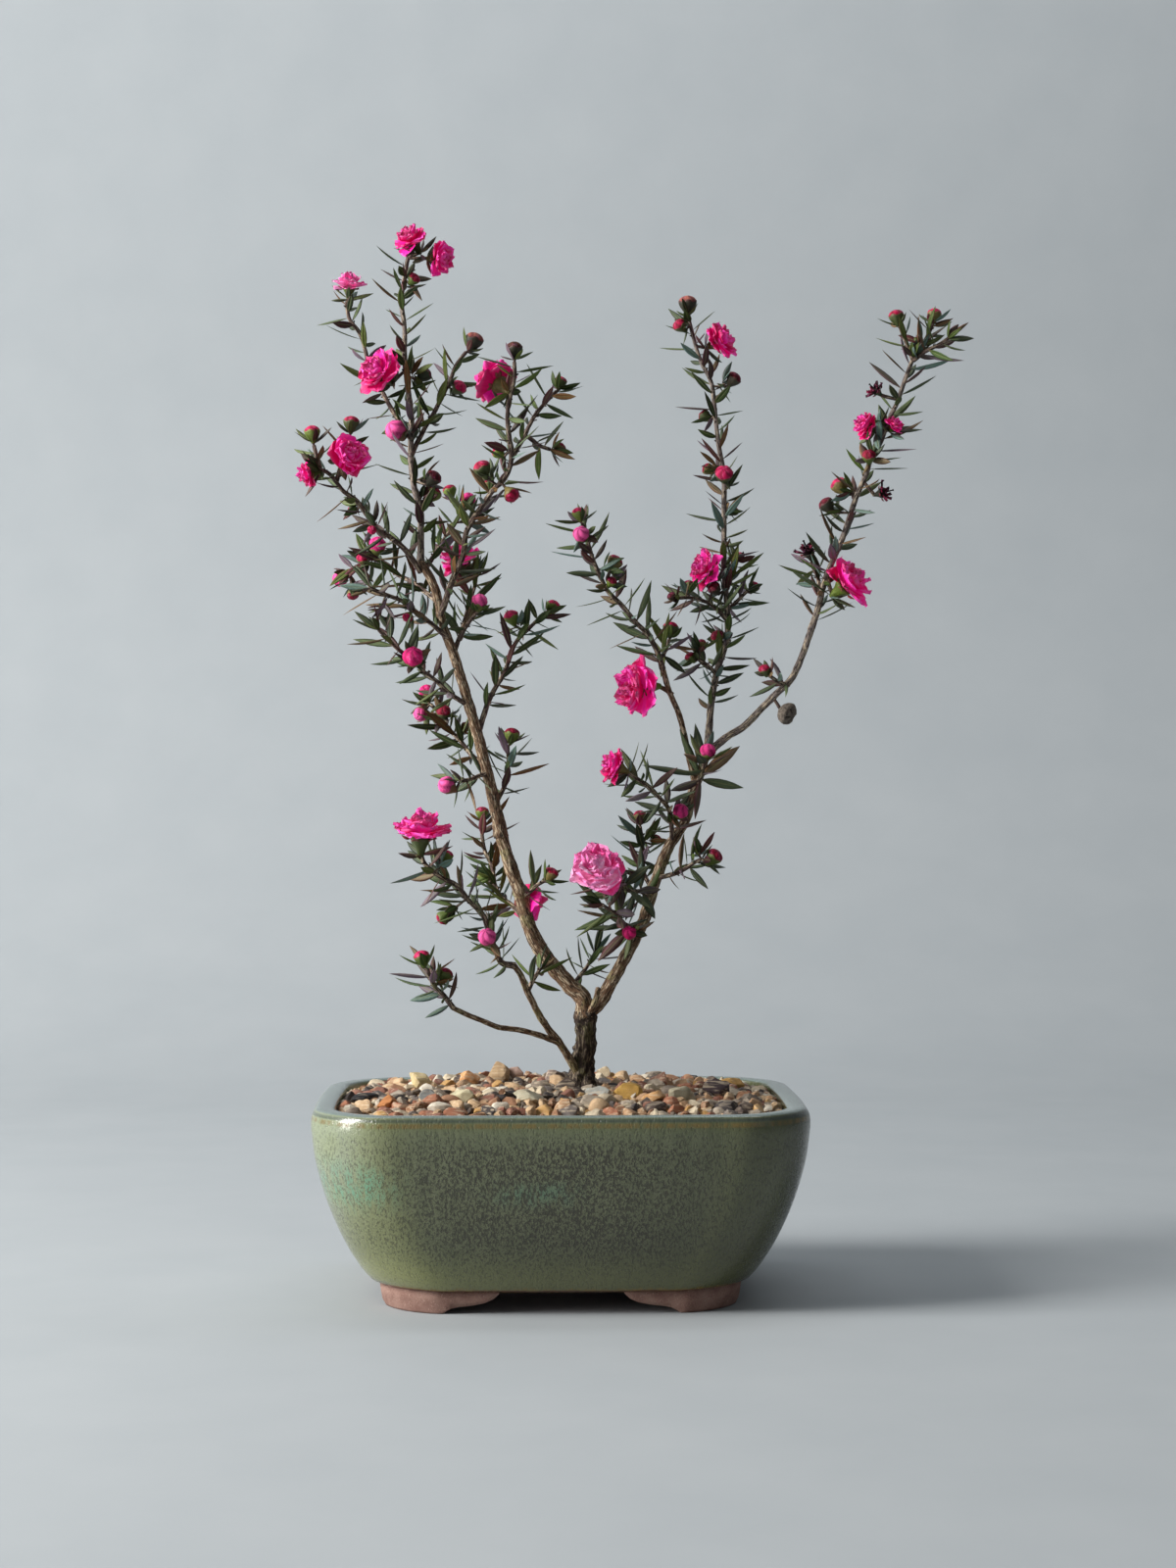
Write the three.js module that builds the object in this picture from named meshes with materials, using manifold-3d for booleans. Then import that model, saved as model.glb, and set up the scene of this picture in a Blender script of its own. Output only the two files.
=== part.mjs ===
// Burgundy queen tea tree, kept small as a bonsai in a glazed pot with rounded corners.
//
// Millimetres, +Z up. X runs along the pot's long side and -Y is the front. The origin is in the middle
// of the whole object's box, on the surface that the pot stands on.
//
// The tree is described by hand as it is seen from the front: every point is [across, behind, up].
// "across" and "up" are measured on the upright plane through the middle of the pot, and "behind" is how
// far the point lies behind that plane. seen() then slides the point along the line of sight.

import * as THREE from 'three';
import { mergeVertices } from 'three/addons/utils/BufferGeometryUtils.js';
import Module from 'manifold-3d';

const wasm = await Module();
wasm.setup();

// Driving dimensions

const EYE = [-12.7, -820, 156.3];       // where the front view is taken from
const GAP = 0.3;                        // space kept between neighbouring pieces

const POT_LENGTH = 150;
const POT_DEPTH = 108;
const POT_HEIGHT = 60;
const FOOT_HEIGHT = 6.5;
const FOOT_WIDTH = 9;                   // how far the ring of feet reaches in from the outside
const FLOOR_TOP = 12;                   // inside floor of the bowl
const WALL = 7.2;                       // wall thickness, as seen at the rim
const CORNER_RADIUS = 27;
const CREASE_ANGLE = 12;                // degrees by which a side meets the rounded corner
const SIDE_BOW = 0.7;                   // how far the middle of a side swells past its creases
const DEPTH_SHARE = 0.68;               // the front and back curve in less than the ends do
const FRONT_GAP_HALF = 18;              // half of the space between the two front feet
const END_GAP_HALF = 8;
const DRAIN_RADIUS = 6.5;
const DRAIN_OFFSET = 32;                // drain holes left and right of the middle
const MESH_SIDE = 20;
const MESH_THICKNESS = 1;
const MESH_OPENING = 4.2;
const MESH_PITCH = 6;

const GRAVEL_BOTTOM = 50;
const GRAVEL_EDGE_TOP = 58.0;
const GRAVEL_MIDDLE_TOP = 62.4;
const GRAVEL_BACK_SHARE = 0.3;
const STONE_SPACING = 11.8;

const LEAF_LENGTH = 11.5;
const LEAF_WIDTH = 2.5;
const LEAF_BELLY = 0.42;                // the widest place, as a share of the length
const LEAF_KEEL = 0.9;                  // depth of the folded blade below its edges
const LEAF_SPACING = 4.7;               // along the stem
const LEAF_ROOT_HEIGHT = 1.1;
const LEAF_ROOM = 1.3;                  // space kept round the middle line of a leaf
const LOWEST_LEAF = 66;
const TUFT_LEAVES = 3;
const PEDICEL_RADIUS = 0.5;
const PEDICEL_FLARE = 0.1;              // thicker by this under the bloom
const TWIG_SIDES = 5;
const MERGE = 0.05;                     // corners closer than this to flat are smoothed away

const COLOURS = {
  glaze: { color: 0x6f7a55, roughness: 0.3, metalness: 0 },
  soil: { color: 0x3a2c22, roughness: 1, metalness: 0 },
  gravel: { color: 0xa98d70, roughness: 0.8, metalness: 0 },
  mesh: { color: 0x202020, roughness: 0.7, metalness: 0 },
  bark: { color: 0x6b5442, roughness: 0.9, metalness: 0 },
  leaf: { color: 0x37482c, roughness: 0.55, metalness: 0 },
  bloom: { color: 0xd8156f, roughness: 0.6, metalness: 0 },
  paleBloom: { color: 0xf07ab0, roughness: 0.6, metalness: 0 },
  spent: { color: 0x4a1020, roughness: 0.85, metalness: 0 },
  capsule: { color: 0x5a5148, roughness: 0.9, metalness: 0 },
};

// Small helpers

const vec = (x, y, z) => new THREE.Vector3(x, y, z);
const UP = vec(0, 0, 1);
const radians = THREE.MathUtils.degToRad;

// A repeatable random source: every call of the returned function gives a number from 0 to 1.
function randomSource(seed) {
  let state = seed;
  return () => {
    state = (state * 1664525 + 1013904223) % 4294967296;
    return state / 4294967296;
  };
}

// Slides a point of the front view along the line of sight until it lies "behind" mm deep.
function seen([across, behind, up]) {
  const stretch = (behind - EYE[1]) / -EYE[1];
  return vec(EYE[0] + (across - EYE[0]) * stretch, behind, EYE[2] + (up - EYE[2]) * stretch);
}

function solid(geometry) {
  const bare = geometry.clone();
  bare.deleteAttribute('normal');
  bare.deleteAttribute('uv');
  const merged = mergeVertices(bare, 1e-5);
  return new wasm.Manifold(new wasm.Mesh({
    numProp: 3,
    vertProperties: new Float32Array(merged.attributes.position.array),
    triVerts: new Uint32Array(merged.index.array),
  }));
}

function polyhedron(points, triangles) {
  const geometry = new THREE.BufferGeometry();
  const numbers = points.flatMap((p) => [p.x, p.y, p.z]);
  geometry.setAttribute('position', new THREE.Float32BufferAttribute(numbers, 3));
  geometry.setIndex(triangles.flat());
  return solid(geometry);
}

// Joins many solids in pairs, so that each join stays small.
function joined(solids) {
  let level = [...solids];
  while (level.length > 1) {
    const next = [];
    for (let i = 0; i < level.length; i += 2) {
      next.push(i + 1 < level.length ? level[i].add(level[i + 1]) : level[i]);
    }
    level = next;
  }
  return level[0];
}

// The largest connected piece: a crumb that a cut leaves behind is dropped.
function mainBody(body) {
  return body.decompose().reduce((best, piece) => (piece.volume() > best.volume() ? piece : best));
}

function boxesMeet(one, other) {
  const a = one.boundingBox();
  const b = other.boundingBox();
  return [0, 1, 2].every((k) => a.min[k] < b.max[k] && b.min[k] < a.max[k]);
}

function cutBy(body, cutters) {
  const near = cutters.filter((cutter) => boxesMeet(body, cutter));
  return near.reduce((rest, cutter) => rest.subtract(cutter), body);
}

// Skins a stack of rings that have the same number of points, from the first to the last.
// A last ring of one point closes the skin in a tip.
function skin(rings) {
  const sides = rings[0].length;
  const tip = rings[rings.length - 1].length === 1;
  const full = tip ? rings.length - 1 : rings.length;
  const last = (full - 1) * sides;
  const triangles = [];
  for (let r = 0; r + 1 < full; r += 1) {
    for (let i = 0; i < sides; i += 1) {
      const a = r * sides + i;
      const b = r * sides + ((i + 1) % sides);
      triangles.push([a, b, b + sides], [a, b + sides, a + sides]);
    }
  }
  for (let i = 1; i + 1 < sides; i += 1) {
    triangles.push([0, i + 1, i]);
    if (!tip) {
      triangles.push([last, last + i, last + i + 1]);
    }
  }
  if (tip) {
    for (let i = 0; i < sides; i += 1) {
      triangles.push([last + i, last + ((i + 1) % sides), full * sides]);
    }
  }
  return { points: rings.flat(), triangles };
}

function loft(rings) {
  const { points, triangles } = skin(rings);
  return polyhedron(points, triangles);
}

// A ring of points round an axis.
function ring(centre, side, other, radius, sides) {
  return Array.from({ length: sides }, (_, k) => {
    const turn = (2 * Math.PI * k) / sides;
    return centre.clone()
      .addScaledVector(side, radius * Math.cos(turn))
      .addScaledVector(other, radius * Math.sin(turn));
  });
}

// Two directions square to an axis and to each other.
function squareTo(axis) {
  const start = Math.abs(axis.z) > 0.9 ? vec(1, 0, 0) : UP;
  const side = start.clone().addScaledVector(axis, -start.dot(axis)).normalize();
  return [side, axis.clone().cross(side)];
}

// Rings of a tapering stem along a list of points. "extra" makes it thicker and longer all round.
function stemRings({ points, radii, sides }, extra = 0) {
  const rings = [];
  let side = null;
  points.forEach((point, i) => {
    const before = points[Math.max(i - 1, 0)];
    const after = points[Math.min(i + 1, points.length - 1)];
    const along = after.clone().sub(before).normalize();
    side = side === null
      ? squareTo(along)[0]
      : side.clone().addScaledVector(along, -side.dot(along)).normalize();
    const shift = (i === 0 ? -extra : 0) + (i === points.length - 1 ? extra : 0);
    const centre = point.clone().addScaledVector(along, shift);
    rings.push(ring(centre, side, along.clone().cross(side), radii[i] + extra, sides));
  });
  return rings;
}

// Rings that carry a stem's skin on from its last ring into a bud at its tip.
function endBudRings({ points, sides }, lastRing, { centre, width }) {
  const end = points[points.length - 1];
  const axis = centre.clone().sub(end).normalize();
  const toFirst = lastRing[0].clone().sub(end);
  const side = toFirst.addScaledVector(axis, -toFirst.dot(axis)).normalize();
  const rings = BUD_PROFILE.map(([height, radius]) => ring(
    centre.clone().addScaledVector(axis, height * width),
    side,
    axis.clone().cross(side),
    radius * width,
    sides,
  ));
  return [...rings, [centre.clone().addScaledVector(axis, BUD_TOP * width)]];
}

function stem(line, extra = 0) {
  return loft(stemRings(line, extra));
}

// Turns a hand-written route into evenly spaced points with a radius at each.
function path(route, thick, thin, step, sides) {
  const curve = new THREE.CatmullRomCurve3(route.map(seen), false, 'centripetal');
  const count = Math.max(1, Math.round(curve.getLength() / step));
  const points = curve.getSpacedPoints(count);
  return { curve, points, radii: points.map((_, i) => thick + ((thin - thick) * i) / count), sides };
}

const group = new THREE.Group();

function addMesh(name, body, look) {
  const mesh = mainBody(body.asOriginal().simplify(MERGE)).getMesh();
  const geometry = new THREE.BufferGeometry();
  geometry.setAttribute('position', new THREE.BufferAttribute(new Float32Array(mesh.vertProperties), 3));
  geometry.setIndex(new THREE.BufferAttribute(new Uint32Array(mesh.triVerts), 1));
  const part = new THREE.Mesh(geometry, new THREE.MeshStandardMaterial(COLOURS[look]));
  part.name = name;
  group.add(part);
}

// Pot

// Outline of the bowl at one height: slightly bowed sides that meet the round corners at a crease.
function potOutline(halfLength, halfDepth, z, corner = CORNER_RADIUS) {
  const arcSteps = 4;
  const radius = Math.min(corner, halfDepth - 8);
  const arc = [];
  for (let i = 0; i <= arcSteps; i += 1) {
    const angle = radians(CREASE_ANGLE + ((90 - 2 * CREASE_ANGLE) * i) / arcSteps);
    arc.push([
      halfLength - radius + radius * Math.cos(angle),
      halfDepth - radius + radius * Math.sin(angle),
    ]);
  }
  const [creaseX, creaseY] = [arc[0][0], arc[arcSteps][1]];
  const upper = [
    [creaseX + SIDE_BOW, 0],
    ...arc,
    [arc[arcSteps][0] * 0.5, creaseY + SIDE_BOW * 0.75],
    [0, creaseY + SIDE_BOW],
  ];
  const half = [...upper, ...upper.slice(0, -1).reverse().map(([x, y]) => [-x, y])];
  return [...half, ...half.slice(1, -1).reverse().map(([x, y]) => [x, -y])].map(([x, y]) => vec(x, y, z));
}

// Half length of the bowl's outside at each height: [height, half length].
const BOWL_PROFILE = [
  [FOOT_HEIGHT, 55.6], [7.5, 57.9], [14, 62.4], [22, 66.5], [32, 70.4], [44, 73.6],
  [54, 74.9], [59.2, 74.3], [POT_HEIGHT, 73],
];

function halfDepthFor(halfLength) {
  return POT_DEPTH / 2 - (POT_LENGTH / 2 - halfLength) * DEPTH_SHARE;
}

function bowlHalfLength(z) {
  const above = BOWL_PROFILE.findIndex(([height]) => height >= z);
  const [z0, a0] = BOWL_PROFILE[above - 1];
  const [z1, a1] = BOWL_PROFILE[above];
  return a0 + ((a1 - a0) * (z - z0)) / (z1 - z0);
}

// Outline of the bowl's inside at one height, drawn in by the wall and by any clearance.
const LIP_LEVEL = 52;
const INSIDE_CORNER = CORNER_RADIUS - WALL * 0.6;

function insideOutline(z, clearance = 0) {
  const outer = z > LIP_LEVEL ? POT_LENGTH / 2 : bowlHalfLength(z);
  const inset = WALL + clearance;
  return potOutline(outer - inset, halfDepthFor(outer) - inset, z, INSIDE_CORNER);
}

function box(width, depth, height, x, y, z) {
  const geometry = new THREE.BoxGeometry(width, depth, height);
  geometry.translate(x, y, z);
  return solid(geometry);
}

function uprightCylinder(radius, bottom, top, x, y, sides) {
  const geometry = new THREE.CylinderGeometry(radius, radius, top - bottom, sides);
  geometry.rotateX(Math.PI / 2);
  geometry.translate(x, y, (top + bottom) / 2);
  return solid(geometry);
}

// A cut that runs right through under the pot. Its flanks step out in scallops, as between cloud feet.
function footTunnel(topHalf, length) {
  const flank = [[0, FOOT_HEIGHT], [2, 4.6], [4.5, 3.1], [10, 2.4], [14.5, 1.8], [17, 0], [17, -1]];
  const outline = [
    ...flank.map(([out, z]) => [-topHalf - out, z]),
    ...flank.slice().reverse().map(([out, z]) => [topHalf + out, z]),
  ];
  const shape = new THREE.Shape(outline.map(([x, z]) => new THREE.Vector2(x, z)));
  const geometry = new THREE.ExtrudeGeometry(shape, { depth: length, bevelEnabled: false });
  geometry.rotateX(Math.PI / 2);
  geometry.translate(0, length / 2, 0);
  return solid(geometry);
}

const FOOT_RING = { bottom: 54, top: 55, corner: 22, sunk: 0.6 };

function makeFeet() {
  const { bottom, top, corner, sunk } = FOOT_RING;
  const outside = loft([
    potOutline(bottom, halfDepthFor(bottom), 0, corner),
    potOutline(top, halfDepthFor(top), FOOT_HEIGHT + sunk, corner),
  ]);
  const inside = loft([-1, FOOT_HEIGHT].map((z) => potOutline(
    bottom - FOOT_WIDTH,
    halfDepthFor(bottom) - FOOT_WIDTH,
    z,
    corner - FOOT_WIDTH / 2,
  )));
  return outside
    .subtract(inside)
    .subtract(footTunnel(FRONT_GAP_HALF, 2 * POT_DEPTH))
    .subtract(footTunnel(END_GAP_HALF, 2 * POT_LENGTH).rotate([0, 0, 90]));
}

function makePot() {
  const outside = loft(BOWL_PROFILE.map(([z, a]) => potOutline(a, halfDepthFor(a), z)));
  const inside = loft([FLOOR_TOP, 22, 38, 53, POT_HEIGHT + 1].map((z) => insideOutline(z)));
  const drains = [-DRAIN_OFFSET, DRAIN_OFFSET].map((x) => (
    uprightCylinder(DRAIN_RADIUS, 0, FLOOR_TOP + 2, x, 0, 14)
  ));
  return cutBy(outside.subtract(inside).add(makeFeet()), drains);
}

// A square of coarse net that keeps the soil from washing out of a drain hole.
function makeDrainMesh(x) {
  const middle = FLOOR_TOP + GAP + MESH_THICKNESS / 2;
  const holes = [];
  for (const column of [-1, 0, 1]) {
    for (const row of [-1, 0, 1]) {
      const across = x + column * MESH_PITCH;
      holes.push(box(MESH_OPENING, MESH_OPENING, 2 * MESH_THICKNESS, across, row * MESH_PITCH, middle));
    }
  }
  return cutBy(box(MESH_SIDE, MESH_SIDE, MESH_THICKNESS, x, 0, middle), holes);
}

// The soil fills the bowl up to the gravel, with a plain hole for the foot of the trunk.
function makeSoil(woodRoom) {
  const heights = [FLOOR_TOP + GAP, 22, 38, GRAVEL_BOTTOM - GAP];
  const fill = loft(heights.map((z) => insideOutline(z, GAP)));
  const side = MESH_SIDE + 2 * GAP;
  const nets = [-DRAIN_OFFSET, DRAIN_OFFSET].map((x) => (
    box(side, side, 2 * (MESH_THICKNESS + 2 * GAP), x, 0, FLOOR_TOP)
  ));
  return cutBy(cutBy(fill, nets), woodRoom);
}

// Gravel: a low mound of packed stones, heaped towards the back and lower at the front and the ends of the
// pot. The stones are raised from the surface: each has a six-cornered foot in the creases between its
// neighbours and a smaller, tilted top.

const STONE_RELIEF = 2.4;
const NEIGHBOURS = [[1, 0], [0, 1], [-1, 1], [-1, 0], [0, -1], [1, -1]];

function gravelLevel(x, y) {
  const [halfX, halfY] = [POT_LENGTH / 2 - WALL, POT_DEPTH / 2 - WALL];
  const deep = (y > 0 ? GRAVEL_BACK_SHARE : 1) * Math.abs(y / halfY) ** 3;
  const out = Math.min(1, Math.abs(x / halfX) ** 3 + deep);
  return GRAVEL_MIDDLE_TOP - (GRAVEL_MIDDLE_TOP - GRAVEL_EDGE_TOP) * out;
}

// Middles of the stones: a honeycomb of points, each moved a little.
function stoneMiddles(random) {
  const middles = new Map();
  const rowStep = STONE_SPACING * Math.sqrt(0.75);
  const rows = Math.ceil(POT_DEPTH / 2 / rowStep);
  const reach = Math.ceil(POT_LENGTH / 2 / STONE_SPACING);
  for (let row = -rows; row <= rows; row += 1) {
    for (let column = -reach; column <= reach; column += 1) {
      const q = column - Math.floor(row / 2);
      const x = (q + row / 2 + (random() - 0.5) * 0.45) * STONE_SPACING;
      const y = row * rowStep + (random() - 0.5) * 0.45 * STONE_SPACING;
      middles.set(`${q},${row}`, { q, row, x, y });
    }
  }
  return middles;
}

function makeGravel(woodRoom) {
  const random = randomSource(11);
  const middles = stoneMiddles(random);
  const points = [];
  const corners = new Map();
  const triangles = [];
  const around = ({ q, row }) => NEIGHBOURS.map(([dq, dr]) => middles.get(`${q + dq},${row + dr}`));
  const corner = (three) => {
    const key = three.map(({ q, row }) => `${q},${row}`).sort().join(' ');
    if (!corners.has(key)) {
      const x = three.reduce((sum, m) => sum + m.x, 0) / 3;
      const y = three.reduce((sum, m) => sum + m.y, 0) / 3;
      corners.set(key, points.length);
      points.push(vec(x, y, gravelLevel(x, y) - STONE_RELIEF));
    }
    return corners.get(key);
  };
  for (const middle of middles.values()) {
    const ringed = around(middle);
    if (ringed.every(Boolean)) {
      const foot = ringed.map((one, i) => corner([middle, one, ringed[(i + 1) % 6]]));
      const share = 0.5 + 0.16 * random();
      const top = [0, 2, 4].map((i) => {
        const edge = points[foot[i]];
        const x = middle.x + (edge.x - middle.x) * share;
        const y = middle.y + (edge.y - middle.y) * share;
        points.push(vec(x, y, gravelLevel(x, y) + 1.4 * random() - 0.4));
        return points.length - 1;
      });
      triangles.push(top);
      for (let i = 0; i < 3; i += 1) {
        const [a, b, c] = [foot[2 * i], foot[2 * i + 1], foot[(2 * i + 2) % 6]];
        const [here, next] = [top[i], top[(i + 1) % 3]];
        triangles.push([a, b, here], [b, next, here], [b, c, next]);
      }
    }
  }
  const edges = new Set(triangles.flatMap(([a, b, c]) => [`${a},${b}`, `${b},${c}`, `${c},${a}`]));
  points.push(vec(0, 0, -50 * POT_HEIGHT));
  const root = points.length - 1;
  for (const edge of [...edges]) {
    const [from, to] = edge.split(',').map(Number);
    if (!edges.has(`${to},${from}`)) {
      triangles.push([to, from, root]);
    }
  }
  const room = loft([GRAVEL_BOTTOM, 2 * POT_HEIGHT].map((z) => (
    insideOutline(GRAVEL_BOTTOM, GAP).map((p) => vec(p.x, p.y, z))
  )));
  return cutBy(polyhedron(points, triangles).intersect(room), woodRoom);
}

// Tree wood: [name, route, radius at the start, radius at the end]

const WOOD_SIDES = 7;
const WOOD_STEP = 8;
const WOOD = [
  ['trunk', [[7, 6, 34], [7, 6, 52], [7, 6, 61], [7, 6, 69], [8, 5, 77], [8, 4, 86]], 3.8, 2.9],
  ['left_limb_low', [[8, 4, 84], [7, 4, 90], [3, 4, 94], [-3, 3, 101], [-7, 2, 107], [-10, 1, 114],
    [-12, 0, 122], [-15, -1, 130], [-18, -2, 140]], 2.6, 1.9],
  ['left_limb_high', [[-18, -2, 140], [-21, -4, 154], [-23, -5, 162], [-25, -5, 170], [-29, -6, 184],
    [-33, -6, 197], [-36, -6, 205], [-39, -6, 218], [-43, -5, 225]], 1.9, 1.25],
  ['right_limb', [[8, 4, 85], [12, 5, 88], [15, 6, 93], [21, 8, 104], [26, 9, 114], [30, 10, 127],
    [34, 11, 137], [39, 12, 145], [41, 12, 153], [43, 13, 158], [45, 14, 164], [46, 14, 168]], 2.1, 1.4],
  ['basal_stem', [[6, 5, 66], [0, 0, 76], [-4, -4, 81], [-7, -9, 86], [-10, -14, 92], [-12, -18, 97],
    [-14, -20, 100]], 1.3, 0.9],
  ['basal_side_stem', [[0, 0, 76], [-5, -5, 78], [-12, -11, 80], [-19, -17, 81], [-24, -22, 83],
    [-29, -26, 85], [-33, -28, 87]], 0.9, 0.75],
  ['arching_stem', [[46, 14, 166], [52, 10, 171], [57, 7, 174], [62, 4, 179], [67, 1, 184], [72, -2, 189],
    [74, -4, 193], [76, -6, 198], [78, -8, 204]], 1.2, 1],
  ['inner_stem', [[42, 13, 157], [40, 11, 165], [39, 9, 170], [37, 6, 178], [34, 3, 185], [32, 0, 192]],
    0.95, 0.85],
  ['inner_twig', [[35, 4, 184], [32, 3, 186], [29, 2, 187]], 0.7, 0.6],
  ['cut_stub', [[9, 3, 85], [11, -1, 89], [12, -2, 93]], 1, 0.8],
];

// Leafy shoots. Each stem is [route, radius at the start, radius at the end, bare length at its start].
// Each bud is [across, lift, up, width]: lift is how far it sits behind the stem that carries it.

const SHOOTS = [
  { name: 'shoot_left_leader',
    stems: [[[[-43, -5, 225], [-43, -4, 235], [-43, -3, 240], [-45, -2, 248], [-46, 0, 256], [-46, 2, 271],
      [-47, 3, 279], [-48, 4, 288], [-48, 5, 297], [-49, 6, 306], [-48, 6, 313], [-47, 6, 319]],
    1.1, 0.65, 8]],
    buds: [[-50, -4, 265, 6.5], [-42, 3, 283, 5], [-39, -3, 251, 5], [-39, 3, 246, 5], [-46, -2, 312, 4]] },
  { name: 'shoot_left_outer',
    stems: [[[[-43, -5, 222], [-48, -10, 229], [-53, -13, 233], [-56, -15, 235], [-60, -18, 240],
      [-63, -20, 244], [-67, -22, 247], [-71, -25, 252], [-75, -28, 254]], 0.9, 0.6, 6],
    [[[-69, -24, 250], [-67, -24, 257], [-65, -24, 264]], 0.65, 0.55, 2],
    [[[-74, -28, 254], [-75, -28, 257], [-76, -28, 261]], 0.6, 0.55, 2]],
    buds: [[-76, 0, 263, 5], [-65, 0, 266, 5], [-64, 3, 241, 3.2], [-58, -3, 235, 3]] },
  { name: 'shoot_left_back', parent: 'shoot_left_leader',
    stems: [[[[-46, 1, 263], [-50, 4, 269], [-53, 7, 274], [-56, 10, 280], [-59, 12, 285], [-60, 14, 290],
      [-62, 16, 296], [-65, 17, 300], [-66, 18, 305]], 0.75, 0.6, 4]],
    buds: [] },
  { name: 'shoot_crown_right', parent: 'shoot_left_leader',
    stems: [[[[-46, 0, 258], [-42, 4, 266], [-39, 8, 271], [-36, 12, 277], [-34, 15, 281], [-32, 17, 286],
      [-29, 18, 290]], 0.75, 0.6, 4]],
    buds: [[-27, 0, 293, 6], [-33, -2, 279, 5]] },
  { name: 'shoot_front_tall',
    stems: [[[[-37, -6, 208], [-35, -9, 214], [-33, -12, 220], [-30, -15, 227], [-29, -18, 234],
      [-27, -20, 238], [-23, -24, 244], [-20, -28, 248], [-17, -31, 251], [-15, -35, 257], [-16, -39, 267],
      [-16, -42, 273], [-14, -44, 282], [-14, -45, 287]], 1, 0.6, 8],
    [[[-15, -35, 257], [-11, -34, 264], [-8, -33, 270], [-4, -32, 275], [-1, -32, 278]], 0.7, 0.55, 2],
    [[[-10, -34, 264], [-6, -32, 261], [-3, -31, 260]], 0.6, 0.55, 2]],
    buds: [[-14, 0, 290, 5], [-1, 1, 280, 4], [-1, 1, 261, 4], [-19, 2, 259, 4], [-24, -2, 254, 5.5],
      [-22, 2, 247, 4], [-15, -3, 246, 5]] },
  { name: 'shoot_short_back',
    stems: [[[[-42, -6, 222], [-37, 2, 230], [-33, 9, 236], [-30, 14, 241]], 0.75, 0.6, 4]],
    buds: [[-29, 0, 243, 5], [-34, 2, 247, 4.5]] },
  { name: 'shoot_centre_bloom',
    stems: [[[[-33, -6, 196], [-30, -1, 205], [-28, 3, 212], [-26, 6, 219], [-26, 8, 222]], 0.75, 0.6, 5],
      [[[-31, -4, 201], [-29, -8, 205], [-26, -10, 209]], 0.65, 0.55, 2]],
    buds: [[-26, 0, 211, 5]] },
  { name: 'shoot_right_of_limb',
    stems: [[[[-25, -5, 173], [-22, -3, 182], [-20, 0, 186], [-17, 4, 191], [-15, 8, 197], [-13, 11, 201],
      [-9, 15, 205], [-5, 19, 209]], 0.85, 0.6, 7]],
    buds: [[-15, -3, 208, 5], [-2, 0, 211, 5]] },
  { name: 'shoot_left_spread',
    stems: [[[[-38, -6, 213], [-42, -2, 216], [-46, 2, 219], [-50, 6, 221], [-53, 9, 224], [-58, 12, 226],
      [-62, 16, 224], [-65, 18, 222]], 0.75, 0.6, 4]],
    buds: [[-56, -3, 229, 5.5], [-66, 0, 221, 5], [-61, -4, 226, 4], [-64, -4, 215, 4]] },
  { name: 'shoot_left_front',
    stems: [[[[-34, -6, 201], [-41, -12, 207], [-45, -15, 210], [-49, -18, 213], [-54, -21, 215],
      [-59, -24, 217]], 0.75, 0.6, 4]],
    buds: [[-57, -3, 206, 3], [-47, -3, 208, 3.4]] },
  { name: 'shoot_left_low_front',
    stems: [[[[-29, -6, 181], [-35, -11, 185], [-38, -14, 188], [-42, -17, 191], [-45, -20, 194],
      [-50, -24, 198], [-53, -26, 201], [-56, -28, 204]], 0.75, 0.6, 4]],
    buds: [[-45, -5, 195, 6.3]] },
  { name: 'shoot_left_low_back',
    stems: [[[[-24, -5, 162], [-28, -1, 166], [-31, 2, 170], [-35, 5, 174], [-37, 8, 178], [-40, 9, 181]],
      0.75, 0.6, 4]],
    buds: [[-40, 0, 184, 5], [-43, -2, 178, 4.5], [-36, -4, 178, 5], [-29, 3, 174, 3.5]] },
  { name: 'shoot_pink_bud',
    stems: [[[[-22, -5, 160], [-27, -9, 158], [-31, -13, 157]], 0.65, 0.55, 3]],
    buds: [[-34, 0, 156, 5.5]] },
  { name: 'shoot_green_bud',
    stems: [[[[-20, -3, 150], [-17, 0, 156], [-16, 2, 162], [-16, 4, 168]], 0.7, 0.55, 4]],
    buds: [[-14, 0, 172, 5]] },
  { name: 'shoot_basal_tall',
    stems: [[[[-14, -20, 100], [-18, -22, 101], [-20, -24, 105], [-22, -26, 111], [-24, -28, 116],
      [-28, -30, 120], [-32, -32, 125], [-36, -34, 127], [-39, -35, 129], [-42, -36, 132], [-43, -37, 136]],
    0.9, 0.65, 3]],
    buds: [[-22, -4, 108, 5.5], [-36, 3, 115, 4.5], [-35, 3, 134, 4]] },
  { name: 'shoot_basal_low',
    stems: [[[[-33, -28, 87], [-36, -30, 91], [-39, -32, 94], [-41, -34, 99]], 0.75, 0.6, 1]],
    buds: [[-43, 0, 103, 5], [-36, 2, 96, 5]] },
  { name: 'shoot_behind_limb',
    stems: [[[[-11, 1, 114], [-15, 6, 119], [-18, 8, 121], [-20, 11, 125], [-21, 13, 131], [-23, 15, 135],
      [-24, 17, 140], [-24, 18, 144]], 0.75, 0.6, 5]],
    buds: [[-22, 2, 127, 4.8], [-24, 0, 147, 4.5]] },
  { name: 'shoot_limb_bud',
    stems: [[[[-12, 0, 121], [-9, -3, 123], [-7, -5, 125], [-5, -6, 126]], 0.65, 0.55, 3]],
    buds: [[-4, 0, 128, 4.5]] },
  { name: 'shoot_basal_inner',
    stems: [[[[-10, -14, 92], [-8, -12, 96], [-6, -10, 99]], 0.65, 0.55, 2]],
    buds: [] },
  { name: 'shoot_right_upright',
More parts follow.
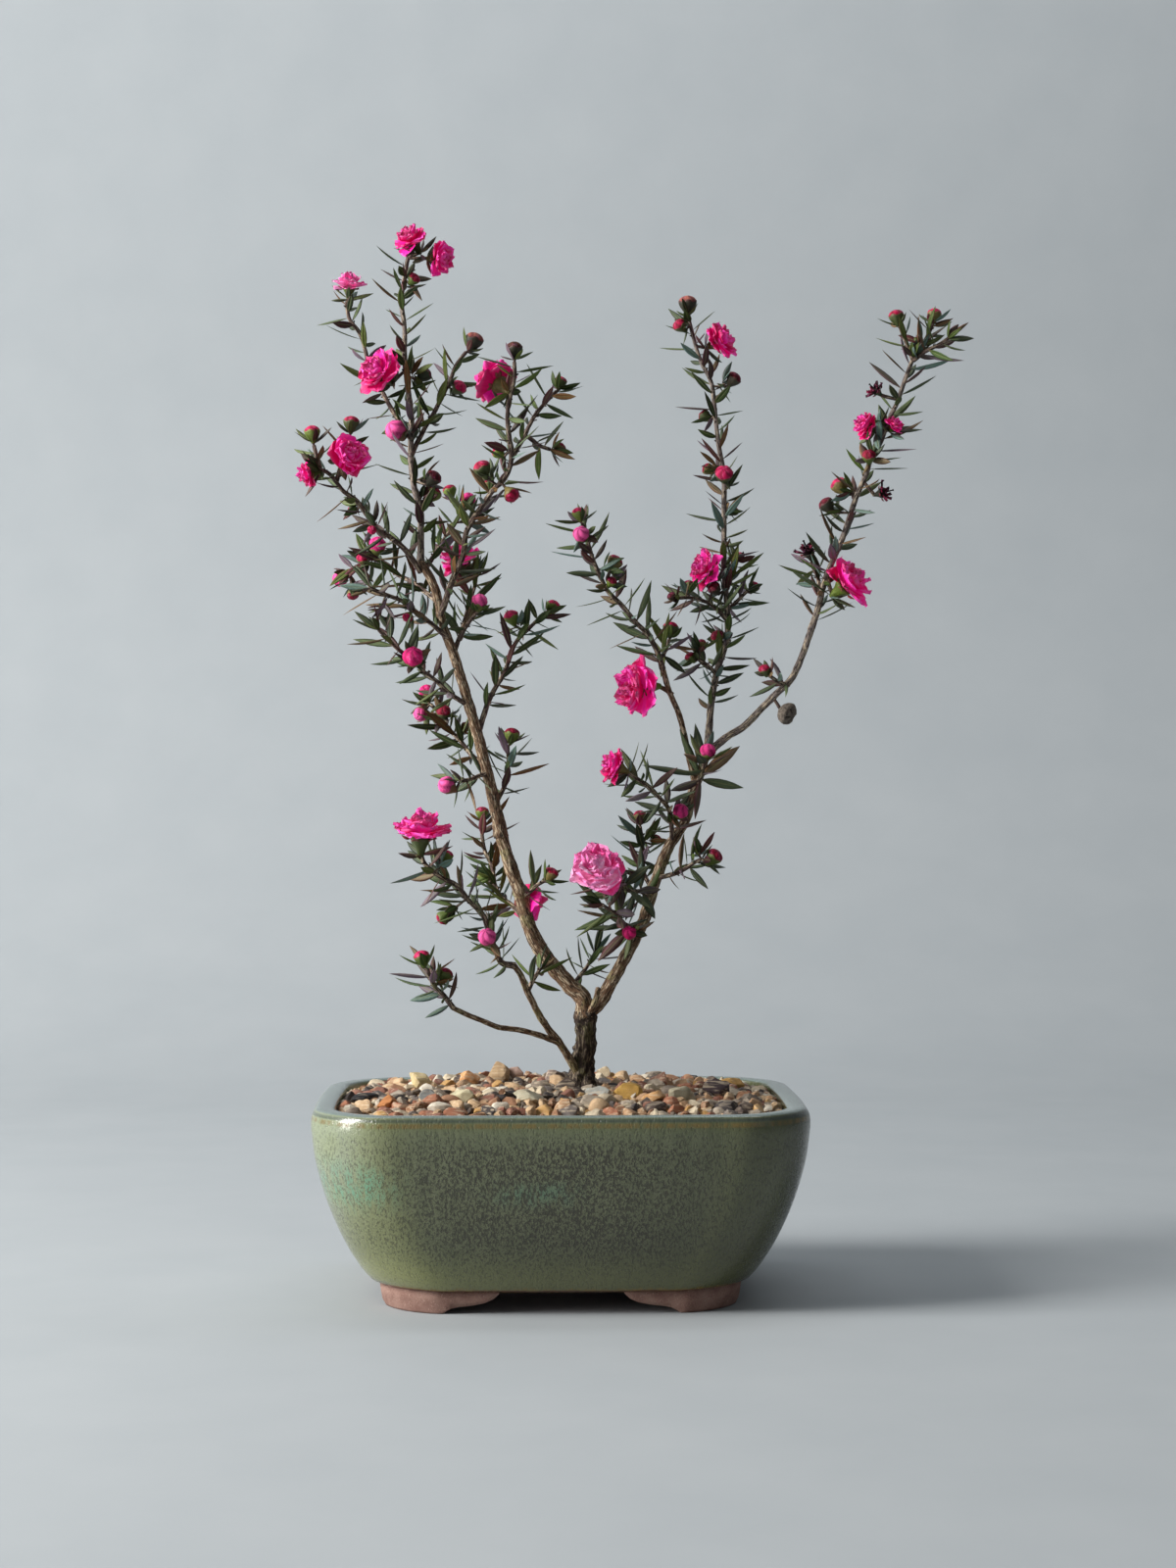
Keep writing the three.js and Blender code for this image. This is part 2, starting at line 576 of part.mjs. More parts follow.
    stems: [[[[46, 14, 168], [47, 17, 181], [48, 19, 187], [49, 20, 192], [52, 22, 202], [52, 23, 211],
      [51, 25, 224], [51, 26, 233], [51, 27, 242], [51, 28, 251], [49, 29, 264], [48, 30, 274],
      [47, 31, 281], [44, 31, 287], [42, 32, 293], [40, 32, 301]], 1.15, 0.6, 12],
    [[[52, 22, 207], [47, 17, 212], [41, 13, 214], [37, 10, 214]], 0.65, 0.55, 3],
    [[[49, 20, 190], [46, 16, 193], [43, 13, 195]], 0.65, 0.55, 2],
    [[[52, 23, 210], [56, 28, 214], [58, 31, 216]], 0.65, 0.55, 2],
    [[[52, 24, 217], [54, 28, 222], [55, 30, 225]], 0.65, 0.55, 2]],
    buds: [[40, 0, 306, 6], [38, -2, 298, 4.5], [54, -2, 282, 5], [46, 2, 270, 4.2], [46, 2, 254, 4],
      [51, -4, 252, 6], [54, 2, 241, 3.4], [40, 2, 218, 3.6], [34, 0, 215, 3], [48, -3, 217, 4.5],
      [56, 0, 227, 3], [60, 0, 217, 4], [49, -4, 202, 4.5], [41, 0, 195, 3.6], [44, 0, 200, 3]] },
  { name: 'shoot_right_arching',
    stems: [[[[78, -8, 204], [80, -9, 210], [82, -11, 218], [85, -14, 226], [88, -16, 233], [90, -18, 239],
      [92, -20, 245], [95, -22, 252], [97, -23, 258], [100, -24, 263], [102, -26, 269], [105, -27, 275],
      [107, -28, 281], [110, -30, 289]], 1, 0.65, 3],
    [[[110, -30, 288], [108, -30, 293], [106, -30, 298]], 0.6, 0.55, 1],
    [[[110, -30, 288], [114, -33, 291], [118, -35, 293], [121, -37, 295]], 0.6, 0.55, 1],
    [[[110, -30, 288], [113, -29, 293], [116, -26, 299]], 0.6, 0.55, 2],
    [[[81, -11, 215], [80, -6, 221], [78, -3, 225]], 0.65, 0.55, 3]],
    buds: [[96, -3, 257, 4.5], [87, 2, 249, 5.5], [83, 2, 243, 5], [105, 0, 301, 4.8], [116, 0, 302, 4.4],
      [111, 3, 294, 3]] },
  { name: 'shoot_arching_low',
    stems: [[[[71, -1, 187], [68, -6, 188], [65, -9, 190]], 0.65, 0.55, 2]],
    buds: [[64, -2, 192, 3.8]] },
  { name: 'shoot_right_inner',
    stems: [[[[32, 0, 192], [30, -3, 198], [27, -6, 203], [24, -9, 206], [19, -12, 212], [15, -15, 216],
      [12, -18, 222], [10, -20, 227], [8, -22, 234], [7, -23, 237]], 0.85, 0.6, 2],
    [[[31, -1, 195], [33, 4, 198], [34, 7, 201]], 0.65, 0.55, 2]],
    buds: [[7, -4, 233, 5], [6, 0, 240, 4.2], [17, 3, 225, 5], [16, -3, 219, 3.4], [34, 0, 204, 5]] },
  { name: 'shoot_low_ragged_bloom',
    stems: [[[[35, 11, 137], [34, 7, 148], [31, 3, 152], [28, 0, 155], [24, -4, 158], [21, -6, 160]],
      0.75, 0.6, 5]],
    buds: [[37, -3, 147, 5]] },
  { name: 'shoot_low_right',
    stems: [[[[30, 10, 127], [37, 5, 129], [42, 2, 132], [44, 1, 133]], 0.75, 0.6, 5]],
    buds: [[47, -1, 133, 5.5], [43, 3, 136, 3.4]] },
  { name: 'shoot_low_big_bloom',
    stems: [[[[28, 9, 121], [25, 4, 123], [22, 0, 123], [19, -4, 125], [15, -8, 126]], 0.7, 0.6, 3]],
    buds: [] },
  { name: 'shoot_low_whorl',
    stems: [[[[25, 9, 111], [20, 3, 112], [18, -1, 116], [16, -4, 117], [13, -6, 119]], 0.65, 0.55, 3]],
    buds: [[22, -4, 110, 4.5]] },
  { name: 'shoot_fork_twig',
    stems: [[[[4, 5, 94], [8, 10, 99], [11, 13, 104]], 0.65, 0.55, 4]],
    buds: [] },
  { name: 'shoot_low_back',
    stems: [[[[29, 9, 123], [26, 13, 129], [26, 17, 135], [25, 21, 143]], 0.7, 0.55, 4]],
    buds: [[25, 0, 147, 4.4], [30, 2, 139, 3.6]] },
  { name: 'shoot_large_leaves', leafScale: 1.35,
    stems: [[[[43, 12, 157], [44, 5, 159], [45, 1, 163]], 0.75, 0.6, 3]],
    buds: [[46, -1, 166, 5]] },
];

// Blooms: [name, carrier, across, up, width, facing, kind]. The carrier is a shoot or a part of the wood.

const BLOOMS = [
  ['bloom_top_left', 'shoot_left_leader', -46, 325, 13.5, [-0.5, -0.45, 0.75], 'bloom'],
  ['bloom_top_right', 'shoot_left_leader', -37, 319, 12.5, [0.8, -0.5, -0.1], 'bloom'],
  ['bloom_left_pale', 'shoot_left_back', -65, 311, 12, [0.1, -0.2, 1], 'paleBloom'],
  ['bloom_leader', 'shoot_left_leader', -56, 284, 17.5, [-0.55, -0.7, 0.45], 'bloom'],
  ['bloom_outer_front', 'shoot_left_outer', -65, 258, 14.5, [0.5, -0.8, 0.2], 'bloom'],
  ['bloom_outer_left', 'shoot_left_outer', -78, 252, 10, [-0.9, -0.3, -0.25], 'bloom'],
  ['bloom_tall_back', 'shoot_front_tall', -20, 281, 16.5, [-0.6, 0.55, 0.55], 'bloom'],
  ['bloom_centre', 'shoot_centre_bloom', -31, 226, 17, [-0.45, -0.35, 0.8], 'bloom'],
  ['bloom_basal', 'shoot_basal_tall', -43, 142, 19, [0, -0.2, 1], 'bloom'],
  ['bloom_limb', 'left_limb_low', -10, 120, 15, [0.6, 0.6, -0.35], 'bloom'],
  ['bloom_low_full', 'shoot_low_big_bloom', 12, 130, 20.5, [-0.15, -0.75, 0.65], 'paleBloom'],
  ['bloom_low_ragged', 'shoot_low_ragged_bloom', 17, 162, 12.5, [-0.9, -0.2, 0.4], 'bloom'],
  ['bloom_inner_side', 'inner_twig', 24, 186, 19.5, [-0.9, -0.4, -0.1], 'bloom'],
  ['bloom_upright_left', 'shoot_right_upright', 45, 223, 15.5, [-0.75, -0.4, 0.5], 'bloom'],
  ['bloom_upright_top', 'shoot_right_upright', 50, 294, 14.5, [0.8, -0.45, 0.35], 'bloom'],
  ['bloom_arching_left', 'shoot_right_arching', 95, 268, 10.5, [-0.8, -0.35, 0.5], 'bloom'],
  ['bloom_arching_half', 'shoot_right_arching', 104, 268, 7, [0.4, -0.6, 0.7], 'bloom'],
  ['bloom_arching_right', 'shoot_right_arching', 90, 219, 18, [0.7, -0.45, 0.55], 'bloom'],
  ['spent_flower_high', 'shoot_right_arching', 98, 279, 8, [-0.7, -0.4, 0.55], 'spent'],
  ['spent_flower_middle', 'shoot_right_arching', 101, 247, 9, [0.85, -0.4, 0.2], 'spent'],
  ['spent_flower_low', 'shoot_right_arching', 77, 229, 10.5, [-0.4, -0.3, 0.8], 'spent'],
];
const CAPSULE = ['seed_capsule', 'arching_stem', 71, 178, 7, [0.75, -0.5, -0.4], 'capsule'];

// Everything that stems and leaves keep clear of

const obstacles = [];

function nearestOn(paths, across, up) {
  let best = null;
  for (const line of paths) {
    const samples = 60;
    for (let i = 0; i <= samples; i += 1) {
      const point = line.curve.getPointAt(i / samples);
      const goal = seen([across, point.y, up]);
      const distance = Math.hypot(goal.x - point.x, goal.z - point.z);
      if (best === null || distance < best.distance) {
        const end = line.radii.length - 1;
        const radius = line.radii[Math.round((i / samples) * end)];
        best = { line, point, distance, radius, along: line.curve.getTangentAt(i / samples) };
      }
    }
  }
  return best;
}

// How far along the line between two points another point lies, as a share, and its distance from the line.
function beside(point, from, to) {
  const line = to.clone().sub(from);
  const share = THREE.MathUtils.clamp(point.clone().sub(from).dot(line) / line.lengthSq(), 0, 1);
  return { share, distance: point.distanceTo(from.clone().addScaledVector(line, share)) };
}

// A bloom keeps a flat drum free round its petals and a narrow neck round its calyx, as shares of its width.
const BLOOM_DRUM = { bottom: -0.1, top: 0.42, radius: 0.52 };
const BLOOM_NECK = { bottom: -0.45, radius: 0.26 };

function insideBloom(point, { centre, axis, width }, room) {
  const offset = point.clone().sub(centre);
  const height = offset.dot(axis);
  const out = offset.addScaledVector(axis, -height).length();
  if (height > BLOOM_DRUM.top * width + room || height < BLOOM_NECK.bottom * width - room) {
    return false;
  }
  const { radius } = height > BLOOM_DRUM.bottom * width - room ? BLOOM_DRUM : BLOOM_NECK;
  return out < radius * width + room;
}

// Whether one obstacle is in the way of a point that lies at a share of the way out from the owner's stem.
// A bud and its stalk fill a cone that opens from the stem.
function inTheWay(thing, point, outward, owner, room) {
  if (thing.bloom) {
    return insideBloom(point, thing.bloom, room);
  }
  const { share, distance } = beside(point, thing.from, thing.to);
  if (thing.bud) {
    return distance < (thing.radius + room) * (thing.owner === owner ? share : 1);
  }
  return (thing.owner !== owner || (thing.leaf && outward > 0.3)) && distance < thing.radius + room;
}

function blocked(from, to, owner, room, ignored = null) {
  const samples = 10;
  for (let i = 0; i <= samples; i += 1) {
    const point = from.clone().lerp(to, i / samples);
    if (obstacles.some((thing) => thing !== ignored && inTheWay(thing, point, i / samples, owner, room))) {
      return true;
    }
  }
  return false;
}

function rememberStem(owner, line) {
  for (let i = 0; i + 1 < line.points.length; i += 1) {
    obstacles.push({ owner, from: line.points[i], to: line.points[i + 1], radius: line.radii[i] });
  }
}

// Where a leaf may grow from: one triangle of the stem's skin, with the leaf's root marked out on it.
// "height" is the share of the segment below the root. Triangles in the lower half of a segment point up
// and those in the upper half point down, so the fold of the blade comes on top or below.
function leafSeat({ skin: { points, triangles }, line }, segment, side, height) {
  const foldUp = height < 0.5;
  const index = 2 * (segment * line.sides + side) + (foldUp ? 0 : 1);
  if (triangles[index] === null) {
    return null;
  }
  const t = Math.min(foldUp ? height : 1 - height, 0.38);
  const tall = LEAF_ROOT_HEIGHT / line.points[segment].distanceTo(line.points[segment + 1]);
  const [near, far, peak] = [0.86 * (1 - t), 0.14 * (1 - t), (1 - t - tall) / 2];
  const weights = foldUp
    ? [[near, far, t], [far, near, t], [peak, peak, t + tall]]
    : [[t + tall, peak, peak], [t, near, far], [t, far, near]];
  const corners = triangles[index].map((k) => points[k]);
  const root = weights.map((share) => corners.reduce(
    (sum, corner, k) => sum.addScaledVector(corner, share[k]),
    vec(0, 0, 0),
  ));
  const middle = vec(0, 0, 0);
  root.forEach((point) => middle.addScaledVector(point, 1 / 3));
  return { index, foldUp, root, middle };
}

// Marks a root out on its triangle of the stem's skin and gives the numbers of its three corners.
function openSeat({ points, triangles }, { index, root }) {
  const outer = triangles[index];
  const inner = root.map((_, k) => points.length + k);
  points.push(...root);
  triangles[index] = null;
  for (let i = 0; i < 3; i += 1) {
    const next = (i + 1) % 3;
    triangles.push([outer[i], outer[next], inner[next]], [outer[i], inner[next], inner[i]]);
  }
  return inner;
}

// Grows one lance-shaped leaf out of its seat: the blade widens to a folded middle and ends in a point.
function growLeaf(growing, seat, blade) {
  const { points, triangles } = growing.skin;
  const { foldUp, middle } = seat;
  const { along, across, face, length, width } = blade;
  const belly = middle.clone().addScaledVector(along, LEAF_BELLY * length);
  const right = belly.clone().addScaledVector(across, width / 2);
  const left = belly.clone().addScaledVector(across, -width / 2);
  const fold = belly.clone().addScaledVector(face, foldUp ? LEAF_KEEL : -LEAF_KEEL);
  const tip = middle.clone().addScaledVector(along, length).addScaledVector(face, 0.05 * length);
  const inner = openSeat(growing.skin, seat);
  const section = inner.map((_, k) => points.length + k);
  points.push(...(foldUp ? [left, right, fold] : [fold, right, left]));
  const end = points.length;
  points.push(tip);
  for (let i = 0; i < 3; i += 1) {
    const next = (i + 1) % 3;
    triangles.push([inner[i], inner[next], section[next]], [inner[i], section[next], section[i]]);
    triangles.push([section[i], section[next], end]);
  }
}

// A bud is a green cup with the folded petals domed above its edge: [height, radius], as shares of its width.
const BUD_PROFILE = [[-0.08, 0.5], [0.3, 0.4]];
const BUD_TOP = 0.52;
const BUD_SIDES = 6;

// Grows a bud out of a seat on the side of a stem, on a stalk that starts with three sides.
function growBud(growing, seat, centre, width) {
  const { points, triangles } = growing.skin;
  const axis = centre.clone().sub(seat.middle).normalize();
  const toRoot = seat.root[0].clone().sub(seat.middle);
  const side = toRoot.addScaledVector(axis, -toRoot.dot(axis)).normalize();
  const other = axis.clone().cross(side);
  const inner = openSeat(growing.skin, seat);
  const rings = BUD_PROFILE.map(([height, radius]) => {
    const first = points.length;
    const middle = centre.clone().addScaledVector(axis, height * width);
    points.push(...ring(middle, side, other, radius * width, BUD_SIDES));
    return first;
  });
  const top = points.length;
  points.push(centre.clone().addScaledVector(axis, BUD_TOP * width));
  const [cup, dome] = rings;
  for (let i = 0; i < 3; i += 1) {
    const [here, next] = [inner[i], inner[(i + 1) % 3]];
    const [a, b, c] = [cup + 2 * i, cup + 2 * i + 1, cup + ((2 * i + 2) % BUD_SIDES)];
    triangles.push([here, b, a], [here, next, b], [next, c, b]);
  }
  for (let i = 0; i < BUD_SIDES; i += 1) {
    const next = (i + 1) % BUD_SIDES;
    triangles.push([cup + i, cup + next, dome + next], [cup + i, dome + next, dome + i]);
    triangles.push([dome + i, dome + next, top]);
  }
}

// A flower is one closed skin wound round its axis: from the foot of the calyx cup out to the rim of the
// outer petals, back into the crease above them, out again to the next layer, and so to the middle. On a
// rim each petal has a left and a right corner and then a cleft. Heights and radii are shares of the width.

const PETALS = 5;
const PETAL_CORNERS = [-0.29, 0.29, 0.5];   // left, right and cleft, as shares of one petal's angle
const CALYX_DEPTH = 0.4;
const CALYX = [{ height: -CALYX_DEPTH, radius: 0.09 }, { height: -0.12, radius: 0.2 }];
const OUTER_PETALS = { height: 0.0, radius: 0.5, cleft: 0.3, dip: -0.03, shift: 0 };
const OUTER_CREASE = { height: 0.05, radius: 0.19, shift: 0.5 };
const INNER_PETALS = { height: 0.24, radius: 0.35, cleft: 0.2, dip: 0.13, shift: 1 };
const MIDDLE_CREASE = { height: 0.16, radius: 0.11, shift: 1 };
const FULL_WIDTH = 14;                  // wider blooms have a third, domed layer in the middle
const RAGGED = 0.16;                    // how far petals differ, as a share
const SPENT_RAGGED = 0.5;

function flowerRing({ centre, axis, width }, layer, ragged, random) {
  const [side, other] = squareTo(axis);
  const points = [];
  for (let i = 0; i < PETALS; i += 1) {
    const wilt = (random() - 0.5) * ragged;
    const spread = 1 + (random() - 0.5) * ragged;
    for (const corner of [0, 1, 2]) {
      const isCleft = layer.cleft !== undefined && corner === 2;
      const radius = (isCleft ? layer.cleft : layer.radius * (layer.cleft ? spread : 1)) * width;
      const rise = (isCleft ? layer.dip : layer.height + (layer.cleft ? wilt : 0)) * width;
      const shift = layer.shift ?? 0;
      const turn = ((i + PETAL_CORNERS[corner] + 0.5 * shift) * 2 * Math.PI) / PETALS;
      points.push(centre.clone()
        .addScaledVector(axis, rise)
        .addScaledVector(side, radius * Math.cos(turn))
        .addScaledVector(other, radius * Math.sin(turn)));
    }
  }
  return points;
}

function makeFlower(bloom, layers, ragged, tip, random) {
  const rings = layers.map((layer) => flowerRing(bloom, layer, ragged, random));
  return loft([...rings, [bloom.centre.clone().addScaledVector(bloom.axis, tip * bloom.width)]]);
}

function makeBloom(bloom, random) {
  const full = bloom.width > FULL_WIDTH;
  const layers = [...CALYX, OUTER_PETALS, OUTER_CREASE, INNER_PETALS, ...(full ? [MIDDLE_CREASE] : [])];
  return makeFlower(bloom, layers, RAGGED, full ? 0.28 : 0.14, random);
}

// A spent flower: one layer of shrivelled petals drawn up round a dark middle.
const SPENT_PETALS = { height: 0.2, radius: 0.42, cleft: 0.2, dip: 0.02, shift: 0 };
const SPENT_CREASE = { height: 0.06, radius: 0.16 };

function makeSpentFlower(bloom, random) {
  return makeFlower(bloom, [...CALYX, SPENT_PETALS, SPENT_CREASE], SPENT_RAGGED, 0.2, random);
}

// The woody capsule: a cup with a domed lid.
function makeCapsule({ centre, axis, width }) {
  const [side, other] = squareTo(axis);
  const profile = [[-0.5, 0.12], [-0.25, 0.42], [0.08, 0.5], [0.14, 0.4]];
  const rings = profile.map(([height, radius]) => (
    ring(centre.clone().addScaledVector(axis, height * width), side, other, radius * width, 8)
  ));
  return loft([...rings, [centre.clone().addScaledVector(axis, 0.3 * width)]]);
}

// Wood

const woodLines = new Map(WOOD.map(([name, route, thick, thin]) => (
  [name, path(route, thick, thin, WOOD_STEP, thick > 1.3 ? WOOD_SIDES : 6)]
)));
woodLines.forEach((line) => rememberStem('tree_wood', line));
const wood = joined([...woodLines.values()].map((line) => stem(line)));
const woodRoom = [...woodLines.values()].map((line) => stem(line, GAP));

// Stems of the shoots

const SHOOT_STEP = 10;
const shoots = SHOOTS.map((shoot) => {
  const lines = shoot.stems.map(([route, thick, thin, bare]) => (
    { ...path(route, thick, thin, SHOOT_STEP, TWIG_SIDES), bare, sideBuds: [] }
  ));
  lines.forEach((line) => rememberStem(shoot.name, line));
  return { ...shoot, lines };
});

// Blooms take their place first, each on the stem that carries it.

function placeBloom([name, carrier, across, up, width, facing, kind]) {
  const axis = vec(...facing).normalize();
  const shoot = shoots.find((candidate) => candidate.name === carrier);
  const lines = shoot ? shoot.lines : [woodLines.get(carrier)];
  const seat = nearestOn(lines, across, up);
  const centre = seen([across, seat.point.y + axis.y * CALYX_DEPTH * width, up]);
  const neck = centre.clone().addScaledVector(axis, -CALYX_DEPTH * width);
  const bloom = { name, centre, axis, width, kind, seat, neck, shoot };
  obstacles.push({ bloom });
  return bloom;
}

const blooms = [...BLOOMS, CAPSULE].map(placeBloom);

// A pedicel bridges a bloom that stands off its stem. It belongs to the shoot, or to the wood.
const woodPedicels = [];
for (const { neck, seat, axis, shoot } of blooms) {
  const reach = neck.distanceTo(seat.point) - seat.radius;
  if (reach > GAP) {
    const end = neck.clone().addScaledVector(axis, -GAP);
    const radii = [PEDICEL_RADIUS, PEDICEL_RADIUS + PEDICEL_FLARE];
    const line = { points: [seat.point, end], radii, sides: TWIG_SIDES, plain: true };
    if (shoot) {
      shoot.lines.push(line);
      rememberStem(shoot.name, line);
    } else {
      woodPedicels.push(line);
      rememberStem('tree_wood', line);
    }
  }
}

// Buds come next, and then the leaves, which turn round their stem until they are clear.
// A bud near the end of a stem closes its tip, and the others stand off its side.

const TIP_REACH = 2.2;
const STALK_ROOM = 0.5;                 // space kept round the stalk of a bud
const TIP_STALK = [0.4, 0.68];          // least way from a stem's end to its bud, plus a share of the width
const SIDE_STALK = 0.85;                // least way from a stem's skin to a side bud, as a share of the width

function placeBuds(shoot) {
  for (const [across, lift, up, width] of shoot.buds) {
    const stems = shoot.lines.filter((line) => !line.plain);
    const seat = nearestOn(stems, across, up);
    const end = seat.line.points[seat.line.points.length - 1];
    const atTip = seat.point.distanceTo(end) < TIP_REACH && !seat.line.endBud;
    let centre = seen([across, seat.point.y + lift, up]);
    const foot = atTip ? end : seat.point;
    const least = atTip ? TIP_STALK[0] + TIP_STALK[1] * width : seat.radius + SIDE_STALK * width;
    if (centre.distanceTo(foot) < least || atTip) {
      const away = centre.clone().sub(foot).addScaledVector(seat.along, atTip ? 2 : 0.6).normalize();
      centre = foot.clone().addScaledVector(away, Math.max(least, atTip ? 0 : centre.distanceTo(foot)));
    }
    const bud = { owner: shoot.name, bud: true, from: foot, to: centre, radius: width / 2, centre, width };
    obstacles.push(bud);
    if (atTip) {
      seat.line.endBud = bud;
    } else {
      seat.line.sideBuds.push(bud);
    }
  }
}

// The free seat on a stem's skin that lies nearest to a bud and faces it, with no other bud in between.
function budSeat(growing, bud) {
  const { line } = growing;
  const { centre } = bud;
  let best = null;
  for (let segment = 0; segment + 1 < line.points.length; segment += 1) {
    for (let side = 0; side < line.sides; side += 1) {
      for (const height of [0.15, 0.35, 0.65, 0.85]) {
        const seat = leafSeat(growing, segment, side, height);
        if (seat) {
          const axisPoint = line.points[segment].clone().lerp(line.points[segment + 1], height);
          const outward = seat.middle.clone().sub(axisPoint).normalize();
          const toBud = centre.clone().sub(seat.middle);
          const distance = toBud.length();
          const facing = toBud.dot(outward) / distance;
          if (facing > 0.35 && (best === null || distance < best.distance)) {
            const start = seat.middle.clone().addScaledVector(toBud, 0.3);
            if (!blocked(start, centre, bud.owner, STALK_ROOM, bud)) {
              best = { seat, distance };
            }
          }
        }
      }
    }
  }
  return best?.seat;
}

const LENGTH_SHARES = [0.72, 1.22];
const WIDTH_SHARES = [0.85, 1.1];
const LEANS = [52, 74];                 // degrees between a leaf and its stem
const TUFT_LEANS = [36, 50];
const TWISTS = [-15, 15];

// Tries the sides of the stem in turn until one leaf has room, and grows it there.
function placeLeaf(growing, shoot, { segment, height, first, tuft }, random) {
  const { line } = growing;
  const size = shoot.leafScale ?? 1;
  const between = ([low, high]) => low + (high - low) * random();
  const length = LEAF_LENGTH * size * between(LENGTH_SHARES);
  const width = LEAF_WIDTH * size * between(WIDTH_SHARES);
  const lean = radians(between(tuft ? TUFT_LEANS : LEANS));
  const twist = radians(between(TWISTS));
  const [from, to] = [line.points[segment], line.points[segment + 1]];
  const stemWay = to.clone().sub(from).normalize();
  for (let attempt = 0; attempt < line.sides; attempt += 1) {
    const seat = leafSeat(growing, segment, (first + 2 * attempt) % line.sides, height);
    if (seat) {
      const offset = seat.middle.clone().sub(from);
      const outward = offset.addScaledVector(stemWay, -offset.dot(stemWay)).normalize();
      outward.applyAxisAngle(stemWay, twist);
      const across = stemWay.clone().cross(outward);
      const along = outward.clone().multiplyScalar(Math.sin(lean)).addScaledVector(stemWay, Math.cos(lean));
      const face = stemWay.clone().multiplyScalar(Math.sin(lean)).addScaledVector(outward, -Math.cos(lean));
      const start = seat.middle.clone().addScaledVector(along, 1);
      const tip = seat.middle.clone().addScaledVector(along, length);
      if (tip.z > LOWEST_LEAF && !blocked(start, tip, shoot.name, LEAF_ROOM)) {
        obstacles.push({ owner: shoot.name, leaf: true, from: start, to: tip, radius: 0.5 });
        growLeaf(growing, seat, { along, across, face, length, width });
        return;
      }
    }
  }
}

// Leaves spiral up the stem, and a few more crowd its tip.
function leafyStem(line, shoot, random) {
  const rings = stemRings(line);
  const ends = line.endBud ? endBudRings(line, rings[rings.length - 1], line.endBud) : [];
  const growing = { line, skin: skin([...rings, ...ends]) };
  for (const bud of line.sideBuds) {
    const seat = budSeat(growing, bud);
    if (seat) {
      bud.from = seat.middle;
      growBud(growing, seat, bud.centre, bud.width);
    }
  }
  const segments = line.points.length - 1;
  const total = line.curve.getLength();
  let first = Math.floor(random() * line.sides);
  for (let distance = line.bare; distance < total - 2; distance += LEAF_SPACING) {
    const along = (distance / total) * segments;
    const segment = Math.min(Math.floor(along), segments - 1);
    placeLeaf(growing, shoot, { segment, height: along - segment, first, tuft: false }, random);
    first += 2;
  }
  for (let i = 0; i < TUFT_LEAVES; i += 1) {
    placeLeaf(growing, shoot, { segment: segments - 1, height: 0.93, first: first + i, tuft: true }, random);
  }
  const { points, triangles } = growing.skin;
  return polyhedron(points, triangles.filter(Boolean));
}

const growth = randomSource(5);
shoots.forEach(placeBuds);
shoots.forEach((shoot) => {
  shoot.stemSolids = shoot.lines.map((line) => (
    line.plain ? stem(line) : leafyStem(line, shoot, growth)
  ));
});

// Putting it together

addMesh('pot', makePot(), 'glaze');
addMesh('drain_mesh_left', makeDrainMesh(-DRAIN_OFFSET), 'mesh');
addMesh('drain_mesh_right', makeDrainMesh(DRAIN_OFFSET), 'mesh');
addMesh('soil', makeSoil(woodRoom), 'soil');
addMesh('gravel', makeGravel(woodRoom), 'gravel');
addMesh('tree_wood', joined([wood, ...woodPedicels.map((line) => stem(line))]), 'bark');

const roomOfAll = [...woodRoom, ...woodPedicels.map((line) => stem(line, GAP))];
const shootRooms = new Map(shoots.map((shoot) => [shoot.name, shoot.lines.map((line) => stem(line, GAP))]));

shoots.forEach((shoot) => {
  const body = joined(shoot.stemSolids);
  const rooms = [...roomOfAll, ...(shootRooms.get(shoot.parent) ?? [])];
  addMesh(shoot.name, cutBy(body, rooms), 'leaf');
});

const petalChance = randomSource(23);
for (const bloom of blooms) {
  const makers = { spent: makeSpentFlower, capsule: makeCapsule };
  const body = (makers[bloom.kind] ?? makeBloom)(bloom, petalChance);
  const rooms = [...roomOfAll, ...[...shootRooms.values()].flat()];
  addMesh(bloom.name, cutBy(body, rooms), bloom.kind);
}

// The origin goes under the middle of the whole object's box.
const bounds = new THREE.Box3().setFromObject(group);
const middle = bounds.getCenter(vec(0, 0, 0));
group.position.set(-middle.x, -middle.y, -bounds.min.z);
group.updateMatrixWorld(true);

export default group;
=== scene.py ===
# %% [markdown]
# # A burgundy queen tea tree bonsai in a glazed pot
# The plant is a small tea tree with thin limbs, narrow leaves and double crimson flowers. It stands in a
# green glazed stoneware pot filled with pebbles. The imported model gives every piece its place, and this
# script puts the fine form and the finish over it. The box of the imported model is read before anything
# else, so that the finished size can be set against it at the end.

